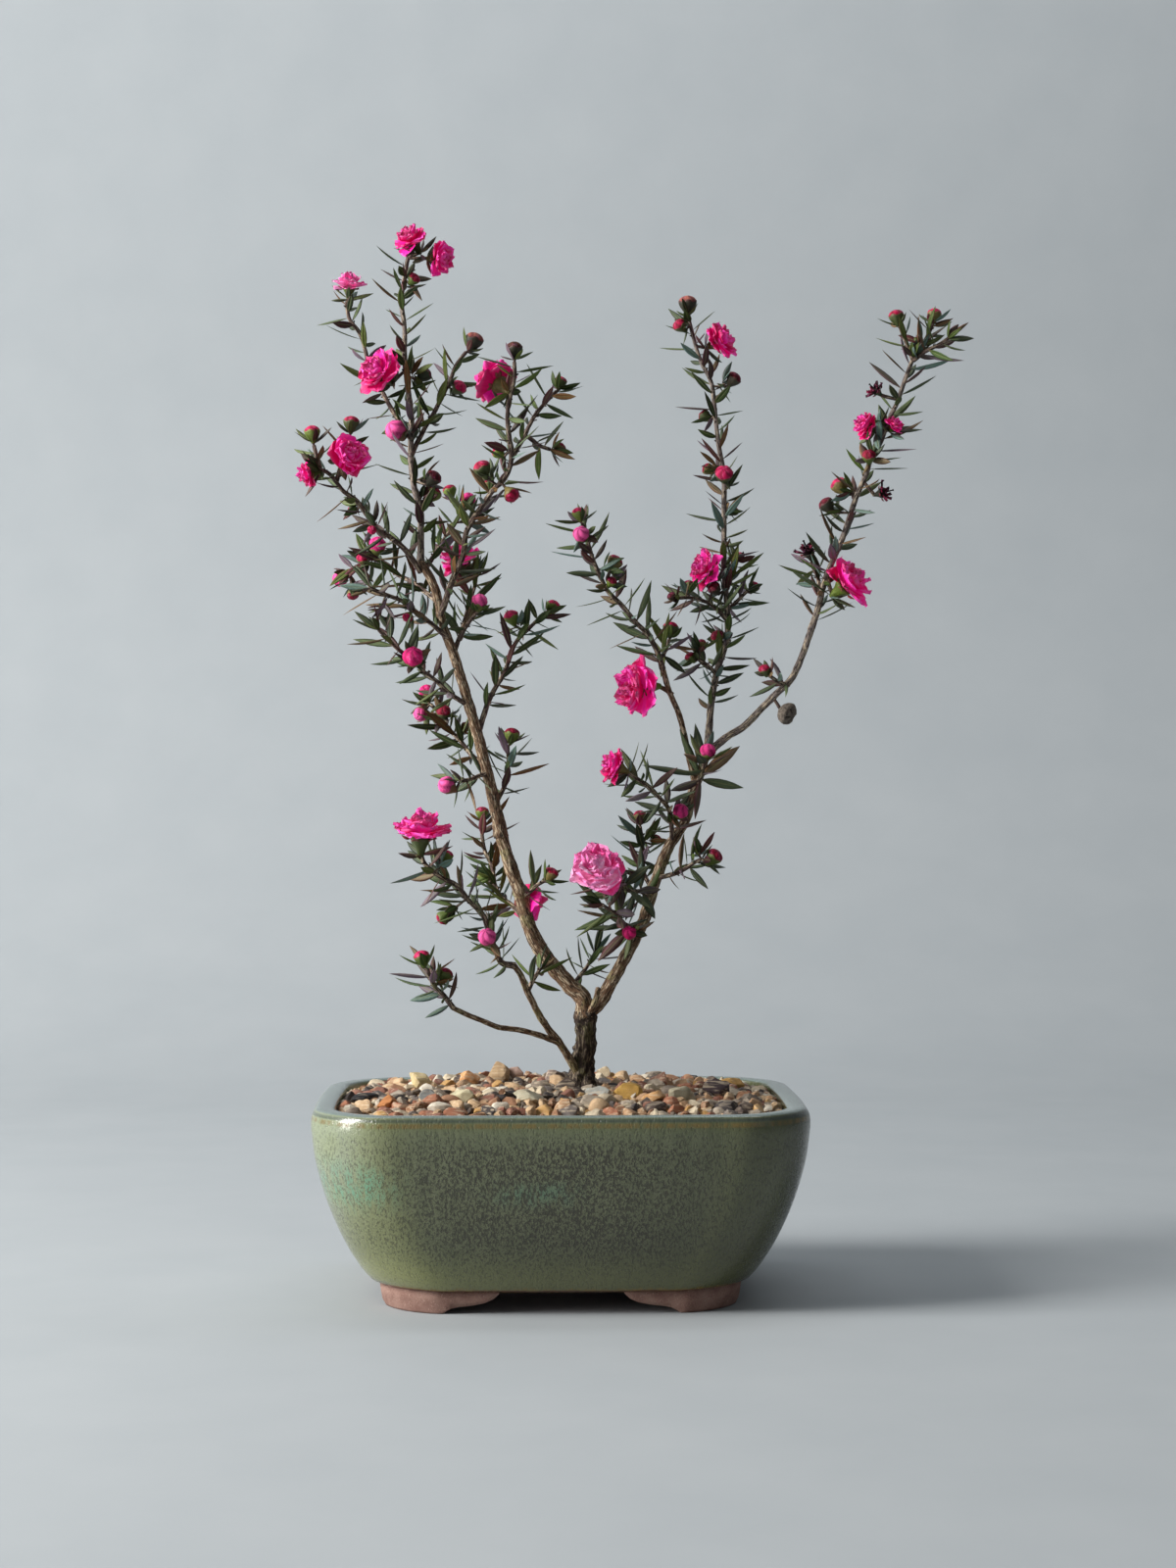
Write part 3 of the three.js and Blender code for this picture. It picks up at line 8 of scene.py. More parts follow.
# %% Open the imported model
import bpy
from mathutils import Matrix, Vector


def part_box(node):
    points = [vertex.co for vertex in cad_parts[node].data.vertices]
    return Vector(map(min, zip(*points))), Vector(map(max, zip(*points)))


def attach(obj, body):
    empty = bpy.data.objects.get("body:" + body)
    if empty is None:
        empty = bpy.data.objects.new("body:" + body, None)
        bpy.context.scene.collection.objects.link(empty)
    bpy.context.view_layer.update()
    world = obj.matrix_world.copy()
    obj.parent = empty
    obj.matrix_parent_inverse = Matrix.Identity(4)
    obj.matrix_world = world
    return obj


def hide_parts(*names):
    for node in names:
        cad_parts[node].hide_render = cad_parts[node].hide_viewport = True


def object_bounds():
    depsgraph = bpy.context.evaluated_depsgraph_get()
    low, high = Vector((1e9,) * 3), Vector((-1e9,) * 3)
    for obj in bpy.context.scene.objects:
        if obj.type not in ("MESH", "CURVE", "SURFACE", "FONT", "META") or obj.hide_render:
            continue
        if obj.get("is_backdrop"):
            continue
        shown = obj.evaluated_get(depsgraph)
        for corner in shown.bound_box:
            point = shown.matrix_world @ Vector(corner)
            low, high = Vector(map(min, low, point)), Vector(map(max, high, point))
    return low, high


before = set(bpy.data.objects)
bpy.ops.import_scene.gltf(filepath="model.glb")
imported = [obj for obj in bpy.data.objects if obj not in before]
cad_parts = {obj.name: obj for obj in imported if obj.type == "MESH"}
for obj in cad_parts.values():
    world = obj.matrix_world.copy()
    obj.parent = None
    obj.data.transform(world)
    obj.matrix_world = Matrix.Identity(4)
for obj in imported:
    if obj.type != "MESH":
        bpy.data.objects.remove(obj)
cad_box = [list(corner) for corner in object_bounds()]

import math
import random

import bmesh
import bpy
import numpy
from mathutils import Matrix, Vector, noise

pot_low, pot_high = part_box("pot")
POT_X = (pot_low[0] + pot_high[0]) / 2
print("nodes:", len(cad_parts), "- the pot's middle is at x =", round(POT_X, 5), "m")

# %% [markdown]
# ## Camera
# The photograph was taken from just above the pot's rim, almost square to its front, with a long lens.
# A camera could be set by eye, but the plant's table of points was made for one eye point, so the camera
# goes exactly there: 82 cm in front, level, turned a degree and a half to the right.

# %% Camera
EYE = Vector((-12.7, -820.0, 156.3))
LENS, TURNED_RIGHT = 60.75, 1.5


def put_in_scene(name, data):
    thing = bpy.data.objects.new(name, data)
    bpy.context.scene.collection.objects.link(thing)
    return thing


camera = put_in_scene("camera", bpy.data.cameras.new("camera"))
camera.data.lens = LENS
camera.data.sensor_width = 36
camera.data.clip_start = 0.01
camera.location = (POT_X + EYE.x / 1000, EYE.y / 1000, EYE.z / 1000)
camera.rotation_euler = (math.radians(90), 0, math.radians(-TURNED_RIGHT))
bpy.context.scene.camera = camera
print("camera at", [round(value, 3) for value in camera.location])

# %% [markdown]
# ## Shader sums in Python
# A finish is a net of small nodes, such as the ones that say where the glaze has pooled. Laid out by hand
# they are hard to follow, so one class wraps a socket and lets plain Python sums add the Math nodes. A few
# more of its methods make the soft steps and bands that say where a colour goes.

# %% Wires
class Wire:
    """The output of a node, which can be used in sums."""

    def __init__(self, finish, socket):
        self.finish = finish
        self.socket = socket

    def sum(self, operation, first, second=0.0):
        return self.finish.node("ShaderNodeMath", {"operation": operation}, {0: first, 1: second})

    def __add__(self, other):
        return self.sum("ADD", self, other)

    def __sub__(self, other):
        return self.sum("SUBTRACT", self, other)

    def __rsub__(self, other):
        return self.sum("SUBTRACT", other, self)

    def __mul__(self, other):
        return self.sum("MULTIPLY", self, other)

    def __truediv__(self, other):
        return self.sum("DIVIDE", self, other)

    __radd__ = __add__
    __rmul__ = __mul__

    def size(self):
        return self.sum("ABSOLUTE", self)

    def wave(self):
        return self.sum("SINE", self)

    def rises(self, low, high):
        """0 below low, 1 above high, and a soft step in between."""
        return self.finish.node(
            "ShaderNodeMapRange",
            {"interpolation_type": "SMOOTHSTEP"},
            {"Value": self, "From Min": low, "From Max": high},
        )

    def falls(self, low, high):
        """1 below low, 0 above high, and a soft step in between."""
        return 1 - self.rises(low, high)

    def near(self, middle, reach, full=0.0):
        """1 at a middle value and over a full share of its reach, 0 from the reach on, on both sides."""
        return ((self - middle).size() / reach).falls(full, 1.0)

    def part(self, axis):
        return self.finish.node("ShaderNodeSeparateXYZ", {}, {"Vector": self}, "XYZ".index(axis))

# %% [markdown]
# ## Finishes
# Every other node comes from one method of a finish, which takes its kind, its settings and then the values
# or links of its sockets. Most finishes are coats of paint, each laid over the last by a share that changes
# from place to place. Colours are written as a screen shows them, because that is how they are judged.

# %% Finishes
class Finish:
    """A material, and the one way in which its nodes are made."""

    def __init__(self, name):
        self.material = bpy.data.materials.new(name)
        self.material.use_nodes = True
        self.tree = self.material.node_tree
        self.tree.nodes.clear()

    def node(self, kind, settings, values, output=0):
        made = self.tree.nodes.new(kind)
        for key, setting in settings.items():
            setattr(made, key, setting)
        for key, value in values.items():
            socket = made.inputs[key]
            if isinstance(value, Wire):
                self.tree.links.new(value.socket, socket)
            elif socket.type == "RGBA":
                socket.default_value = (*value, 1)
            else:
                socket.default_value = value
        return Wire(self, made.outputs[output]) if made.outputs else None

    def vector(self, operation, values):
        return self.node("ShaderNodeVectorMath", {"operation": operation}, values)

    def place(self):
        """Millimetres from the pot's middle."""
        place = self.node("ShaderNodeTexCoord", {}, {}, "Object")
        moved = self.vector("SUBTRACT", {0: place, 1: (POT_X, 0, 0)})
        return self.vector("SCALE", {0: moved, "Scale": 1000.0})

    def written(self, name, output="Vector"):
        """What the mesh says at each point under a name."""
        return self.node("ShaderNodeAttribute", {"attribute_name": name}, {}, output)

    def stretched(self, vector, by):
        return self.vector("MULTIPLY", {0: vector, 1: by})

    def clouds(self, vector, scale, detail=3.0, rough=0.55):
        values = {"Vector": vector, "Scale": scale, "Detail": detail, "Roughness": rough}
        return self.node("ShaderNodeTexNoise", {}, values)

    def blend(self, share, first, second, kind="MIX"):
        settings = {"data_type": "RGBA", "blend_type": kind}
        return self.node("ShaderNodeMix", settings, {0: share, 6: first, 7: second}, 2)

    def times(self, colour, by):
        return self.blend(1.0, colour, by, "MULTIPLY")

    def coats(self, colour, *layers):
        """Paints over a colour, layer after layer. Each has a share, and a screen colour or a wire."""
        for share, over in layers:
            colour = self.blend(share, colour, over if isinstance(over, Wire) else paint(*over))
        return colour

    def close(self, colour, roughness, height, depth, constants):
        """Sends colour, roughness and bump to the surface. Depth is in millimetres."""
        bump = self.node("ShaderNodeBump", {}, {"Height": height, "Distance": depth / 1000, "Strength": 1.0})
        values = {"Base Color": colour, "Roughness": roughness, "Normal": bump, **constants}
        surface = self.node("ShaderNodeBsdfPrincipled", {}, values)
        self.node("ShaderNodeOutputMaterial", {}, {"Surface": surface})
        return self.material


def paint(red, green, blue):
    """A screen colour, 0 to 255, as the light that it stands for."""
    return tuple(((value / 255 + 0.055) / 1.055) ** 2.4 for value in (red, green, blue))


def paints(*colours):
    return [paint(*colour) for colour in colours]


print("a screen's middle grey stands for", round(paint(128, 128, 128)[0], 3), "of the light of white")

# %% [markdown]
# ## Shapes
# Each piece is a list of points and faces, gathered in millimetres from the pot's middle and turned into
# metres once. Two notes go with each point: "tint", a colour of its own, and "marks", three numbers that
# a finish can read, such as how far along a leaf the point is. Finishes then follow the form and need
# no pictures.

# %% Gather a shape and make its piece
class Shape:
    def __init__(self):
        self.points = []
        self.faces = []
        self.finish_numbers = []
        self.tints = []
        self.marks = []

    def add(self, points, faces, finish=0, tint=(1, 1, 1), marks=None):
        first = len(self.points)
        self.points.extend(tuple(point) for point in points)
        self.faces.extend([first + k for k in face] for face in faces)
        self.finish_numbers.extend([finish] * len(faces))
        self.tints.extend(tint if isinstance(tint, list) else [tint] * len(points))
        self.marks.extend(marks or [(0, 0, 0)] * len(points))

    def grid(self, rows, finish=0, tint=(1, 1, 1), marks=None, around=False, caps=""):
        """A sheet, or a tube where it goes around, from rows of equally many points."""
        count = len(rows[0])
        spans = count if around else count - 1
        faces = []
        for row in range(len(rows) - 1):
            for k in range(spans):
                a, b = row * count + k, row * count + (k + 1) % count
                faces.append((a, b, b + count, a + count))
        if "first" in caps:
            faces.append(tuple(reversed(range(count))))
        if "last" in caps:
            faces.append(tuple(range((len(rows) - 1) * count, len(rows) * count)))
        flat_marks = [mark for row in marks for mark in row] if marks else None
        flat_tints = [t for row in tint for t in row] if isinstance(tint, list) else tint
        self.add([point for row in rows for point in row], faces, finish, flat_tints, flat_marks)

    def mesh(self, name, finishes, sharp_from=None):
        mesh = bpy.data.meshes.new(name)
        points = [(POT_X + x / 1000, y / 1000, z / 1000) for x, y, z in self.points]
        mesh.from_pydata(points, [], self.faces)
        for finish in finishes:
            mesh.materials.append(finish)
        mesh.polygons.foreach_set("material_index", self.finish_numbers)
        mesh.polygons.foreach_set("use_smooth", [True] * len(self.faces))
        tints = mesh.color_attributes.new("tint", "FLOAT_COLOR", "POINT")
        tints.data.foreach_set("color", [value for tint in self.tints for value in (*tint, 1.0)])
        marks = mesh.attributes.new("marks", "FLOAT_VECTOR", "POINT")
        marks.data.foreach_set("vector", [value for mark in self.marks for value in mark])
        mesh.update()
        if sharp_from:
            mesh.set_sharp_from_angle(angle=math.radians(sharp_from))
        return mesh


triangle_counts = {}


def settle(thing, slot, *nodes):
    """Lets a piece ride on the plant's one body, in place of its solids."""
    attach(thing, "root")
    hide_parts(*nodes)
    triangle_counts[thing.name] = sum(len(face.vertices) - 2 for face in thing.data.polygons)


def make_piece(shape, name, finishes, slot, *nodes, sharp_from=None):
    settle(put_in_scene(name, shape.mesh(name, finishes, sharp_from)), slot, *nodes)

# %% [markdown]
# ## Floor and light
# The photograph has soft window light from the left, a pale wall behind and a table below. A sweep, one
# sheet that runs along the floor and bends up behind, gives a plain ground with no edge. Two lamps on the
# left do most of the work: a large, high one and a small one as low as the pot, which shines in its glaze.
# A weak one on the right keeps the shadows open, and one behind lights the wall.

# %% Floor
def pale_ground():
    ground = Finish("pale_ground")
    grain = ground.clouds(ground.place(), 0.02, 4.0)
    colour = ground.blend(grain, paint(160, 166, 170), paint(170, 175, 178))
    return ground.close(colour, 0.9, grain, 0.1, {"Specular IOR Level": 0.2})


BEND_AT, BEND_RADIUS, BEND_STEPS = 500, 450, 12
angles = [k * math.pi / 2 / BEND_STEPS for k in range(BEND_STEPS + 1)]
bend = [(BEND_AT + BEND_RADIUS * math.sin(a), BEND_RADIUS * (1 - math.cos(a))) for a in angles]
profile = [(-2400, 0), (300, 0), *bend, (BEND_AT + BEND_RADIUS, 2600)]
sweep = Shape()
sweep.grid([[(x, y, z) for x in (-2600, -900, 0, 900, 2600)] for y, z in profile])
floor = put_in_scene("floor", sweep.mesh("floor", [pale_ground()]))
floor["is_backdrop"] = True
print("rows of the sweep:", len(profile))

# %% Lamps
def lamp(name, place, size, power, colour, target=(POT_X, 0, 0.15)):
    light = put_in_scene(name, bpy.data.lights.new(name, "AREA"))
    light.data.shape = "RECTANGLE"
    light.data.size, light.data.size_y = size
    light.data.energy = power
    light.data.color = colour
    light.location = Vector(place)
    aim = Vector(target) - light.location
    light.rotation_euler = aim.to_track_quat("-Z", "Y").to_euler()


DAYLIGHT = (1.0, 0.98, 0.95)
lamp("window", (-1.2, -0.35, 0.75), (0.5, 0.75), 34, DAYLIGHT)
lamp("low_panes", (-1.2, -0.42, 0.13), (0.26, 0.42), 5, DAYLIGHT, (POT_X, 0, 0.05))
lamp("open_shade", (1.3, -1.1, 0.7), (1.0, 1.0), 0.6, (0.92, 0.96, 1.0))
lamp("wall_glow", (0.0, 0.25, 1.6), (1.6, 0.5), 9, (0.96, 0.98, 1.0), (POT_X, 1.1, 0.35))
world = bpy.data.worlds.new("room")
world.use_nodes = True
room_light = world.node_tree.nodes["Background"].inputs
room_light["Color"].default_value = (0.88, 0.91, 0.94, 1)
room_light["Strength"].default_value = 0.17
bpy.context.scene.world = world
bpy.context.scene.view_settings.view_transform = "Standard"
print("lamps:", len(bpy.data.lights))

# %% [markdown]
# ## The pot's outline
# The pot is an oblong with round corners that meet its slightly bowed sides at a soft crease. It could be
# a box with bevels, but its corners stay the same while its sides draw in, so each level is drawn as its
# own outline and the wall is lofted through them.

# %% Outline of one level
POT_LENGTH, POT_DEPTH = 150.0, 108.0
CORNER, CREASE, BOW, DEPTH_SHARE, WALL = 27.0, math.radians(12), 0.7, 0.68, 7.2


def half_depth(half_length):
    return POT_DEPTH / 2 - (POT_LENGTH / 2 - half_length) * DEPTH_SHARE


def pot_outline(half_length, half_width, z, corner=CORNER, steps=(9, 14, 14)):
    """Points round one level, with how much each lies on a flat panel (1) or on a corner (0)."""
    radius = min(corner, half_width - 8)
    arc = []
    for i in range(steps[1] + 1):
        angle = CREASE + (math.pi / 2 - 2 * CREASE) * i / steps[1]
        arc.append((half_length - radius + radius * math.cos(angle),
                    half_width - radius + radius * math.sin(angle), 0.0))
    (end_x, end_y, _), (side_x, side_y, _) = arc[0], arc[-1]
    quarter = []
    for i in range(steps[0]):
        s = i / steps[0]
        quarter.append((end_x + BOW * (1 - s * s), end_y * s, 1 - s ** 3))
    quarter += arc
    for i in range(1, steps[2] + 1):
        s = 1 - i / steps[2]
        quarter.append((side_x * s, side_y + BOW * (1 - s * s), 1 - s ** 3))
    half = quarter + [(-x, y, panel) for x, y, panel in reversed(quarter[:-1])]
    whole = half + [(x, -y, panel) for x, y, panel in reversed(half[1:-1])]
    return [(x, y, z) for x, y, _ in whole], [panel for _, _, panel in whole]


print("points round the pot:", len(pot_outline(75, 54, 0)[0]))

# %% [markdown]
# ## The glazed bowl
# The wall swells from a narrow foot to the rim, where it rounds over to a flat lip about 7 mm wide with
# a sharper inner edge. The levels below follow that profile. The floor has two drain holes, cut with
# a Boolean, because a loft can't have a hole in its side.

# %% Bowl
PROFILE = [(6.5, 55.6), (7.5, 57.9), (14, 62.4), (22, 66.5), (32, 70.4), (44, 73.6), (54, 74.9)]
FLOOR_TOP, DRAIN_RADIUS, DRAIN_OFFSET = 12.0, 6.5, 32.0
INSIDE_CORNER = CORNER - 4.3
GLAZE, CLAY = 0, 1


def smooth_profile(pairs, step):
    """Levels closer together on a smooth curve through (height, half length) pairs."""
    slopes = []
    for i in range(len(pairs)):
        before, after = pairs[max(i - 1, 0)], pairs[min(i + 1, len(pairs) - 1)]
        slopes.append((after[1] - before[1]) / (after[0] - before[0]))
    levels = []
    for i in range(len(pairs) - 1):
        (h0, a0), (h1, a1) = pairs[i], pairs[i + 1]
        count = max(1, round((h1 - h0) / step))
        for k in range(count):
            t, span = k / count, h1 - h0
            a = ((2 * t ** 3 - 3 * t * t + 1) * a0 + (t ** 3 - 2 * t * t + t) * span * slopes[i]
                 + (3 * t * t - 2 * t ** 3) * a1 + (t ** 3 - t * t) * span * slopes[i + 1])
            levels.append((h0 + t * span, a))
    return levels + [pairs[-1]]


bowl = Shape()
outer_levels = [(z, a, CORNER) for z, a in smooth_profile(PROFILE, 1.6)]
lip = [(56.2, 74.92), (57.8, 74.7), (58.9, 74.25), (59.6, 73.5), (59.93, 72.6), (60, 71.4), (59.95, 69.6),
       (59.8, 68.5), (59.45, 68.0), (58.8, 67.8), (56, 67.8), (53.5, 67.8), (50, 67.2)]
lip_levels = [(z, a, CORNER - max(0, (74.5 - a)) * 0.62) for z, a in lip]
inside_levels = [(z, a - WALL, INSIDE_CORNER) for z, a, _ in reversed(outer_levels) if 13 < z < 48]
rows, marks = [], []
for z, a, corner in outer_levels + lip_levels:
    ring, panels = pot_outline(a, half_depth(a), z, corner)
    rows.append(ring)
    marks.append([(panel, z, 1.0 if (a < 74 and z > 50) else 0.0) for panel in panels])
bowl.grid(rows, GLAZE, marks=marks, around=True)
clay_rows = [rows[-1]]
for z, a, corner in inside_levels + [(FLOOR_TOP, inside_levels[-1][1] - 0.8, INSIDE_CORNER)]:
    clay_rows.append(pot_outline(a, half_depth(a + WALL) - WALL, z, corner)[0])
clay_rows.append([(x * 0.5, y * 0.5, FLOOR_TOP) for x, y, _ in clay_rows[-1]])
bowl.grid(clay_rows, CLAY, around=True, caps="last")
under = [[(x * k, y * k, z) for x, y, z in rows[0]] for k in (0.5, 0.97, 1.0)]
bowl.grid(under, CLAY, around=True, caps="first")
print("levels of the bowl:", len(rows) + len(clay_rows))

# %% [markdown]
# ## Feet
# Under the bowl four corner feet are left standing where the foot ring was cut away, in scallops. The cuts
# could be Booleans, but then the soft flanks of each foot would need a bevel. Instead, one band follows the
# ring, and its lower edge is lifted wherever a cut passes, by the height of the cut there. The lifted
# stretch ends inside the bowl's floor, so nothing of it shows.

# %% Feet
FOOT_TOP = 7.2
LONG_CUT, SHORT_CUT = 18, 8  # half the straight middle of the cut in a long and in a short side
FLANK = [(0, 6.9), (0.6, 5.9), (2, 4.6), (4.5, 3.35), (7.5, 2.75), (10, 2.4), (12.5, 2.15), (14.5, 1.7),
         (16.2, 0.8), (17, 0)]


def cut_height(out):
    """Height of a cut at a distance past its straight middle."""
    if out <= 0:
        return FOOT_TOP
    for (x0, z0), (x1, z1) in zip(FLANK, FLANK[1:]):
        if out <= x1:
            return z0 + (z1 - z0) * (out - x0) / (x1 - x0)
    return 0.0


SECTION = [
    # half length, how far inside it, level
    (55.0, 0, FOOT_TOP), (54.6, 0, 4.0), (54.2, 0, 1.4), (54.0, 0, 0.6), (53.8, 0, 0.18), (53.3, 0, 0.0),
    (54.0, 8.3, 0.0), (54.0, 8.8, 0.3), (54.0, 9.0, 1.0), (54.6, 9.0, FOOT_TOP),
]
feet_rows = []
for half_length, inset, level in SECTION:
    ring = pot_outline(half_length - inset, half_depth(half_length) - inset, level, 22.0 - inset * 0.6,
                       (40, 16, 60))[0]
    feet_rows.append([(x, y, max(z, cut_height(abs(x) - LONG_CUT), cut_height(abs(y) - SHORT_CUT)))
                      for x, y, z in ring])
feet_rows.append(feet_rows[0])
feet = Shape()
feet.grid([list(reversed(row)) for row in feet_rows], CLAY, around=True)
print("points of the feet:", len(feet.points))

# %% [markdown]
# ## Glaze and clay
# The glaze is a celadon, a clear green over grey stoneware. It is thin and yellow-green where it drew
# off the creases and pooled at the foot, and the flat panels are full of short dark specks that ran down
# in the fire. Two sizes of noise, stretched upright, make the specks, and the panel note of each point
# says how many there are. The lip breaks to grey-blue, with a dark line and a gold one under it. Light
# and shade are painted in as well: the upper left is paler, partly from the glaze's cloudier tone and partly
# painted light, its far edge has a painted blue-grey reflection, and the right side and the lower right
# have painted shade.

# %% Glaze and clay
def celadon():
    glaze = Finish("celadon_glaze")
    place, notes = glaze.place(), glaze.written("marks")
    panel, height, lip_top = notes.part("X"), notes.part("Y"), notes.part("Z")
    x, y = place.part("X"), place.part("Y")
    drift = glaze.clouds(place, 0.035, 3.0)
    streaks = glaze.clouds(glaze.stretched(place, (0.5, 0.5, 0.09)), 1.0, 3.0)
    specks = glaze.clouds(glaze.stretched(place, (1.5, 1.5, 0.85)), 1.0, 2.0, 0.5)
    fine_specks = glaze.clouds(glaze.stretched(place, (3.0, 3.0, 1.6)), 1.0, 1.0)
    dense = (panel * 0.55 + 0.45) * height.rises(6, 24) * height.falls(48, 59) * (drift * 0.4 + 0.6)
    thin = (1 - panel).rises(0.45, 1.0) * 0.45 + height.falls(8, 22) * 0.7
    # paler upper left: partly the glaze's own cloudier tone, partly painted light where the window lamp falls
    milky_tone_and_painted_light = (0 - x).rises(46, 68) * height.rises(14, 44)
    # painted shade: darker towards the right end (deep) and low down on the right (shade), the side away from the
    # lamps
    deep = x.rises(0, 70) * 0.6 + x.rises(62, 72) * 0.25
    shade = height.falls(10, 40) * x.rises(-60, 0)
    speck = (specks + dense * 0.12).rises(0.585, 0.615) * (dense * 0.75 + 0.16)
    fine = (fine_specks + dense * 0.10).rises(0.62, 0.66) * (dense * 0.5 + 0.2)
    pools = x.near(-62, 21, 0.1) * height.near(39, 11) * 0.7 + x.near(-8, 20, 0.1) * height.near(37, 6) * 0.3
    teal = pools * (0 - y).rises(6, 24) * (1 - specks.rises(0.46, 0.60) * 0.85) * streaks.rises(0.35, 0.65)
    # painted reflection: a blue-grey sheen of the window light on the far left edge
    bluish = (0 - x).rises(56, 76) * drift.rises(0.35, 0.65)
    gold = height.near(57.2, 1.0, 0.3) * (1 - lip_top) * streaks.rises(0.3, 0.6)
    dark = height.near(58.7, 0.8, 0.3) * (1 - lip_top)
    drip = (height + streaks * 2.5).falls(8.3, 9.6)
    body = glaze.coats(
        glaze.blend(streaks.rises(0.3, 0.7), *paints((92, 99, 72), (104, 110, 82))),
        (dense * 0.25, (98, 98, 76)),
        (thin, (134, 138, 92)),
        # painted light, with some cloudier glaze, on the upper left
        (milky_tone_and_painted_light * 0.4, (156, 168, 142)),
        # painted shade on the right side and low on the right
        (deep, (38, 43, 25)),
        (shade * 0.45, (46, 46, 30)),
        (speck, (40, 38, 27)),
        (fine, (50, 46, 34)),
        (teal, (84, 146, 122)),
        # painted reflection of the window light at the far left edge
        (bluish * 0.35, (132, 140, 158)),
        (gold * 0.7, (112, 92, 50)),
        (dark * 0.6, (44, 56, 60)),
        (lip_top * height.rises(59.2, 59.7), glaze.blend(drift, *paints((92, 108, 98), (118, 130, 130)))),
        (drip * 0.8, (122, 104, 52)),
        (height.falls(6.9, 7.5), (92, 66, 44)),
    )
    roughness = 0.17 + specks * 0.12 + speck * 0.12
    relief = specks.rises(0.5, 0.7) * -0.5 + streaks * 0.8 + fine_specks * 0.2
    constants = {"IOR": 1.5, "Coat Weight": 0.35, "Coat Roughness": 0.08}
    return glaze.close(body, roughness, relief, 0.12, constants)


def bare_clay():
    clay = Finish("bare_stoneware")
    place = clay.place()
    sand, cloud = clay.clouds(place, 3.2, 4.0), clay.clouds(place, 0.25, 3.0)
    colour = clay.coats(
        clay.blend(cloud.rises(0.3, 0.7), *paints((146, 116, 105), (124, 93, 83))),
        (sand.rises(0.58, 0.7), (178, 152, 138)),
        ((1 - sand).rises(0.60, 0.70), (96, 68, 58)),
    )
    return clay.close(colour, 0.75 + sand * 0.2, sand + cloud, 0.18, {"Specular IOR Level": 0.3})


pot_finishes = [celadon(), bare_clay()]
for finish in pot_finishes:
    print(finish.name, "has", len(finish.node_tree.nodes), "nodes")

# %% Cut the drain holes and set the feet
DRILL_SIDES, DRILL_LEVELS = 48, (3, 15)


def drill(x):
    turns = [2 * math.pi * k / DRILL_SIDES for k in range(DRILL_SIDES)]
    circle = [(x + DRAIN_RADIUS * math.cos(turn), DRAIN_RADIUS * math.sin(turn)) for turn in turns]
    rod = Shape()
    rod.grid([[(cx, cy, z) for cx, cy in circle] for z in DRILL_LEVELS], CLAY, around=True, caps="first last")
    return put_in_scene("drill", rod.mesh("drill", pot_finishes))


def applied(thing):
    """The mesh of a thing with its modifiers in it."""
    bpy.context.view_layer.update()
    graph = bpy.context.evaluated_depsgraph_get()
    return bpy.data.meshes.new_from_object(thing.evaluated_get(graph))


def weld(mesh, distance=1e-6):
    work = bmesh.new()
    work.from_mesh(mesh)
    bmesh.ops.remove_doubles(work, verts=work.verts, dist=distance)
    bmesh.ops.recalc_face_normals(work, faces=work.faces)
    work.to_mesh(mesh)
    work.free()


bowl_thing = put_in_scene("glazed_pot", bowl.mesh("glazed_pot", pot_finishes))
weld(bowl_thing.data, 2e-6)
drills = [drill(x) for x in (-DRAIN_OFFSET, DRAIN_OFFSET)]
for tool in drills:
    weld(tool.data)
    cut = bowl_thing.modifiers.new("drain", "BOOLEAN")
    cut.object, cut.operation, cut.solver = tool, "DIFFERENCE", "EXACT"
bowl_thing.data = applied(bowl_thing)
bowl_thing.modifiers.clear()
for tool in drills:
    bpy.data.objects.remove(tool)
feet_thing = put_in_scene("pot_feet", feet.mesh("feet", pot_finishes))
weld(feet_thing.data)
settle(bowl_thing, "glazed_pot", "pot")
settle(feet_thing, "glazed_pot", "pot")
print("pot:", triangle_counts["glazed_pot"], "triangles, feet:", triangle_counts["pot_feet"])

# %% [markdown]
# ## The plant's lines
# Every limb and shoot is written down as it is seen: how far across, how far behind the pot's middle and
# how high, in millimetres on the pot's own plane. A point behind that plane looks smaller, so "seen"
# spreads it out from the eye by as much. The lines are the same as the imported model's, so the fine stems
# lie where its solids are. A name, its points, and the radius at each end make a limb; a shoot's last
# number says how far up its leaves start. A bud has its place across, how far it is lifted towards the
# back, its height and width, and a word where it isn't a green one.

